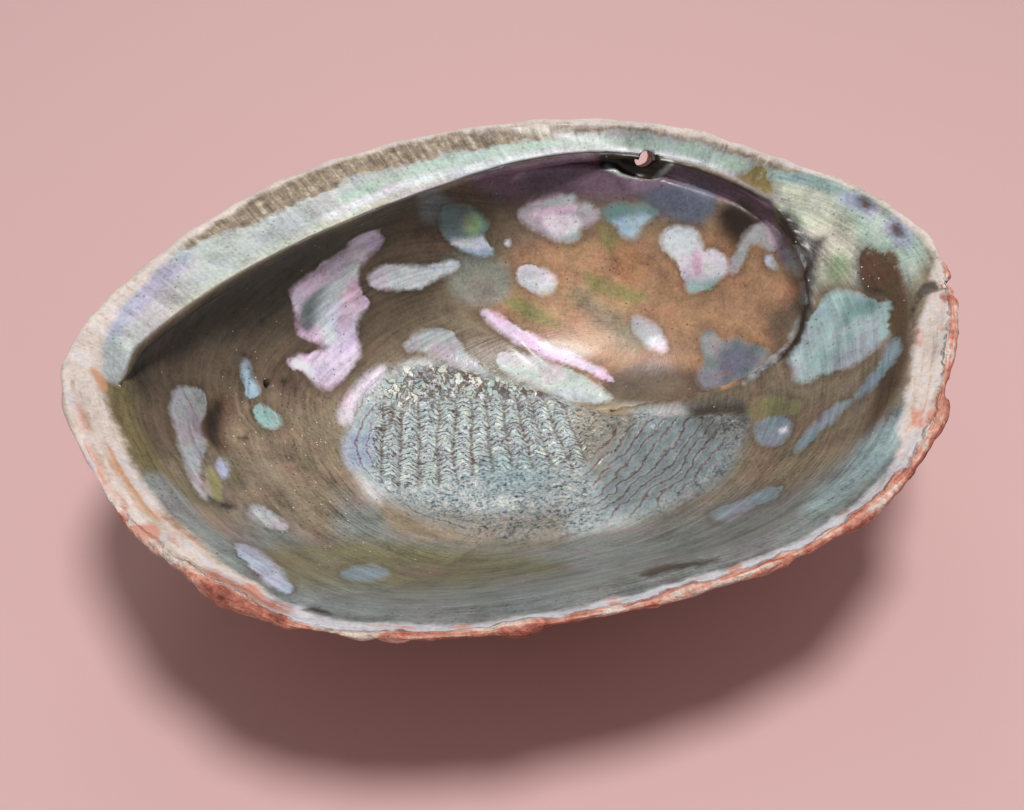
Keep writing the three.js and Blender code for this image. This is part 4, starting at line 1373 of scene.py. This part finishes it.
def chevron_look(g, s):
    stripe, rise = chevron_place(g, s)
    rise = rise + g.spread(s.mid[1], -1.3, 1.3) + g.spread(s.fine[0], -0.5, 0.5)
    within_row = g.fraction(rise * (1 / ROW_PITCH))
    row_line = g.fall(0.0, 0.22, within_row) + g.step(0.86, 1.0, within_row)
    colour = g.ramp(
        s.mid[2] * 0.5 + s.fine[1] * 0.5,
        (0.34, "umber"), (0.42, "slate"), (0.48, "ash"), (0.54, "aqua"), (0.60, "cream"), (0.68, "white"),
    )
    # Each row lighter towards its upper edge: a painted highlight on every chevron
    colour = g.scale(colour, g.spread(within_row, 0.8, 1.3))
    colour = g.mix(row_line * g.spread(s.fine[0], 0.1, 1.6), colour, "bark")
    return g.mix(g.step(0.3, 0.5, stripe) * g.spread(s.mid[0], -0.1, 1.3), colour, "umber")


def facet_look(g, s):
    across = s.u * 0.62 + g.spread(s.mid[0], -1.4, 1.4)
    along = s.v * 0.5 + g.spread(s.mid[1], -1.2, 1.2)
    place = g.out(g.node("CombineXYZ", across, along, 0.0))
    pick = g.split(g.cells(place, "Color")[0])[0]
    border = g.fall(0.02, 0.16, g.cells(place, "Distance", feature="DISTANCE_TO_EDGE")[0])
    colour = g.ramp(
        pick * 0.7 + s.fine[1] * 0.5,
        (0.2, "umber"), (0.35, "slate"), (0.5, "ash"), (0.65, "aqua"), (0.8, "cream"), (0.95, "white"),
    )
    return g.mix(border * 0.85, colour, "umber")


def band_look(g, s):
    slanted = s.u * BAND_SLANT[0] + s.v * BAND_SLANT[1]
    on_right = g.math("GREATER_THAN", s.u, SLANT_FROM)
    bands = on_right * slanted + (1.0 - on_right) * (s.scar * BANDS_ACROSS)
    return g.ramp(
        g.fraction(bands + s.cloud * 0.4 + g.spread(s.mid[0], -0.4, 0.4)),
        (0.0, "umber"), (0.08, "earth"), (0.2, "lavender"), (0.45, "mist"), (0.7, "aqua"), (0.9, "ash"),
        (1.0, "umber"),
    )


def scar_look(g, s):
    """Colour of the muscle scar: chevrons, facets and contour bands, and specks between them."""
    specks = g.ramp(
        s.fine[1] * 0.65 + s.mid[2] * 0.35,
        (0.36, "bark"), (0.43, "slate"), (0.49, "mist"), (0.55, "ash"), (0.62, "cream"),
    )
    in_rows = g.step(-1.0, 1.0, s.rows + s.cloud * 2.0)
    in_facets = g.step(-1.0, 1.0, s.facets + s.cloud * 2.0)
    in_bands = g.step(-0.8, 0.8, s.bands + s.cloud * 1.5 + g.spread(s.mid[1], -1.5, 1.5))
    colour = g.mix(in_rows, specks, chevron_look(g, s))
    colour = g.mix(in_facets, colour, facet_look(g, s))
    return g.mix(in_bands, colour, g.mix(0.35, band_look(g, s), specks))


def ground_look(g, s):
    """Nacre with its soft zones, play of colour, grain and rings."""
    tone = s.cloud * 0.5 + (s.grain - 0.5) * s.streaky * 4.5 + s.mid[2] * 0.7 + s.fine[2] + 0.15
    ring = g.fraction(s.scar * RINGS_ACROSS + s.cloud * 1.2 + s.mid[0])
    ring_line = g.fall(0.0, 0.3, ring) * s.rings
    colour = g.mix(s.play_share, g.attribute("tint", "Color"), s.play, "MULTIPLY")
    return g.scale(colour, tone - ring_line * 0.35)


def add_patches(g, s, colour):
    """Lays the first layer of patches over a colour, with soft or crisp edges."""
    softness = g.math("MAXIMUM", 0.4, s.cloud * 2.2 + 1.2)
    edge = (s.first + s.fray * 0.65) / softness
    inside_patch = g.step(-0.5, 0.5, edge)
    border = g.step(-2.0, -0.3, edge) * (1.0 - inside_patch)
    colour = g.mix(border * 0.3, colour, "bark")
    tone = s.cloud * 0.35 + (s.grain - 0.5) * s.streaky * 3.5 + s.mid[2] * 0.5 + s.fine[2] * 0.6 + 0.45
    patch = g.scale(g.mix(FIRST_PLAY, g.attribute("first_tint", "Color"), s.play, "MULTIPLY"), tone)
    worn = g.step(0.54, 0.7, s.mid[1]) * 0.3 + g.step(0.55, 0.65, s.fine[1]) * 0.1
    return g.mix(inside_patch * (1.0 - worn), colour, patch)


def add_specks(g, s, colour):
    """Lays light and dark specks over a colour, more of them where there is grit; on the ledge's ridge the
    light specks are painted glints.
    """
    away, pick = g.cells(s.place, "Distance", "Color")
    light_pick, dark_pick, _ = g.split(pick)
    gritty = g.step(-1.5, 2.0, s.grit)
    light = g.step(0.0, 0.05, light_pick - g.spread(gritty, 0.97, 0.82))
    dark = g.step(0.0, 0.05, dark_pick - g.spread(gritty, 0.9, 0.6))
    colour = g.mix(g.fall(0.1, 0.26, away) * light * 0.7, colour, "white")
    return g.mix(g.fall(0.12, 0.36, away) * dark * 0.6, colour, "bark")


def hollow_look(g, s, with_scar):
    """Colour of the hollow side within the lip."""
    colour = add_patches(g, s, ground_look(g, s))
    if with_scar:
        in_scar = g.fall(0.93, 1.05, s.scar + s.cloud * 0.06 + g.spread(s.mid[1], -0.08, 0.08))
        tinted = g.mix(SCAR_TINT, scar_look(g, s), g.attribute("tint", "Color"), "MULTIPLY")
        colour = g.mix(in_scar, colour, g.scale(tinted, SCAR_LIGHT))
    second = g.mix(SECOND_PLAY, g.attribute("second_tint", "Color"), s.play, "MULTIPLY")
    colour = g.mix(g.step(-0.5, 0.8, s.second + s.fray * 0.8), colour, second)
    return add_specks(g, s, colour)


def add_mottled_strip(g, s, colour):
    brushed = s.mid[1] * 0.35 + s.fine[1] * 0.2 + s.grain * 0.45
    strip = g.ramp(
        brushed, (0.34, "peat"), (0.41, "earth"), (0.48, "drab"), (0.54, "tan"), (0.64, "cream"),
    )
    in_strip = g.step(-0.6, 0.6, s.mottle + s.fray * 1.5 + s.cloud * 1.2)
    return g.mix(in_strip, colour, g.scale(strip, SHELF_DIM))


def bone_look(g, s):
    """Bone at the lip, with salmon spots, and ash and tan streaks."""
    spotted = s.spots * g.spread(s.brick_share, 0.1, 0.5) + g.spread(s.brick_share, 0.25, 0.4)
    colour = g.mix(g.step(0.56, 0.74, spotted + s.mid[1] * 0.2), g.attribute("lip_tint", "Color"), "salmon")
    colour = g.mix(g.step(0.48, 0.62, s.grain * 0.6 + s.mid[0] * 0.4) * 0.7, colour, "ash")
    colour = g.mix(g.fall(0.38, 0.47, s.grain * 0.6 + s.mid[1] * 0.4) * 0.5, colour, "tan")
    tone = s.grain * 0.6 + s.fine[1] * 0.6 + s.mid[2] * 0.4 + s.cloud * 0.2 + 0.2
    return g.scale(colour, tone)


def crust_look(g, s):
    colour = g.ramp(
        s.grain * 0.7 + s.mid[1] * 0.3 + s.blotch * 0.15,
        (0.32, "maroon"), (0.42, "brick"), (0.5, "salmon"), (0.58, "bone"), (0.68, "olive"),
    )
    colour = g.mix(g.step(0.55, 0.9, s.blotch + g.spread(s.mid[0], -0.5, 0.5)), colour, "ash")
    return g.scale(colour, s.mid[2] * 1.1 + s.fine[2] * 0.9)


def shell_material(part):
    """Material of one part of the shell: nacre, scar or crust."""
    g = Graph(part)
    s = surface_values(g)
    bump_grain = g.noise(s.flow, 1.0, 2.0, 0.6)
    bump_fine = g.noise(s.place, BUMP_SIZE, 2.0, 0.65)
    crusty = (bump_fine + bump_grain) * 3.0
    if part == "crust":
        g.finish(crust_look(g, s), crusty, 0.85, 0.0, 0.0)
    elif part == "scar":
        rise = chevron_place(g, s)[1]
        chevrons = g.step(-1.2, 1.2, s.rows) * g.math("PINGPONG", rise * (2 / ROW_PITCH), 1.0)
        height = bump_fine * 0.9 + g.fall(0.94, 1.02, s.scar) * chevrons
        g.finish(hollow_look(g, s, True), height, 0.34, 0.15, 0.2)
    else:
        colour = add_mottled_strip(g, s, hollow_look(g, s, False))
        in_lip = g.step(-1.2, 1.2, s.lip + s.fray * 1.5 + s.cloud * 1.5)
        colour = g.mix(in_lip, colour, bone_look(g, s))
        brick_start = g.spread(s.brick_share, 5.0, -0.8)
        in_crust = g.step(-0.5, 0.5, s.reach - brick_start + s.fray * 1.4 + s.spots)
        colour = g.mix(in_crust, colour, crust_look(g, s))
        rim_mark = g.step(-0.4, 0.5, s.third + s.fray * 0.5)
        colour = g.mix(rim_mark * 0.9, colour, g.attribute("third_tint", "Color"))
        polished = bump_grain * s.streaky + bump_fine * 0.22
        height = in_crust * crusty + (1.0 - in_crust) * polished
        dull = g.math("MAXIMUM", in_crust, in_lip * 0.6)
        g.finish(colour, height, g.spread(dull, 0.38, 0.85), g.spread(dull, 0.1, 0.0), 0.15)
    return g.material


def floor_material():
    g = Graph("floor")
    g.put(g.shader.inputs["Base Color"], linear(FLOOR_COLOUR))
    g.put(g.shader.inputs["Roughness"], 0.6)
    return g.material


def add_camera():
    back = Vector(view_axes()[2])
    camera = bpy.data.objects.new("camera", bpy.data.cameras.new("camera"))
    camera.data.sensor_width = SENSOR_WIDTH
    camera.data.lens = SENSOR_WIDTH / 2 / math.tan(FIELD_OF_VIEW / 2)
    camera.data.clip_start = 0.01
    target = Vector((VIEW_TARGET + TO_ORIGIN) * MM)
    camera.location = target + VIEW_DISTANCE * MM * back
    camera.rotation_euler = back.to_track_quat("Z", "Y").to_euler()
    bpy.context.scene.collection.objects.link(camera)
    bpy.context.scene.camera = camera


def add_floor():
    bpy.ops.mesh.primitive_plane_add(size=FLOOR_SIZE)
    floor = bpy.context.object
    floor.name = "floor"
    floor.data.materials.append(floor_material())


def add_light(name, place, size, power):
    light = bpy.data.objects.new(name, bpy.data.lights.new(name, "AREA"))
    light.data.shape = "DISK"
    light.data.size = size
    light.data.energy = power
    light.location = place
    light.rotation_euler = Vector(place).to_track_quat("Z", "Y").to_euler()
    bpy.context.scene.collection.objects.link(light)


def add_world(strength):
    world = bpy.data.worlds.new("studio")
    bpy.context.scene.world = world
    world.use_nodes = True
    background = world.node_tree.nodes["Background"]
    background.inputs["Color"].default_value = (1.0, 0.94, 0.93, 1)
    background.inputs["Strength"].default_value = strength


shell = make_shell()
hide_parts("shell")
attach(shell, "root")

add_camera()
add_floor()
add_light("key", (0.07, -0.06, 1.2), 0.3, 11.8)
add_light("back", (0.1, 0.9, 0.9), 0.5, 1.2)
add_world(0.3)

bpy.context.scene.view_settings.view_transform = "Standard"
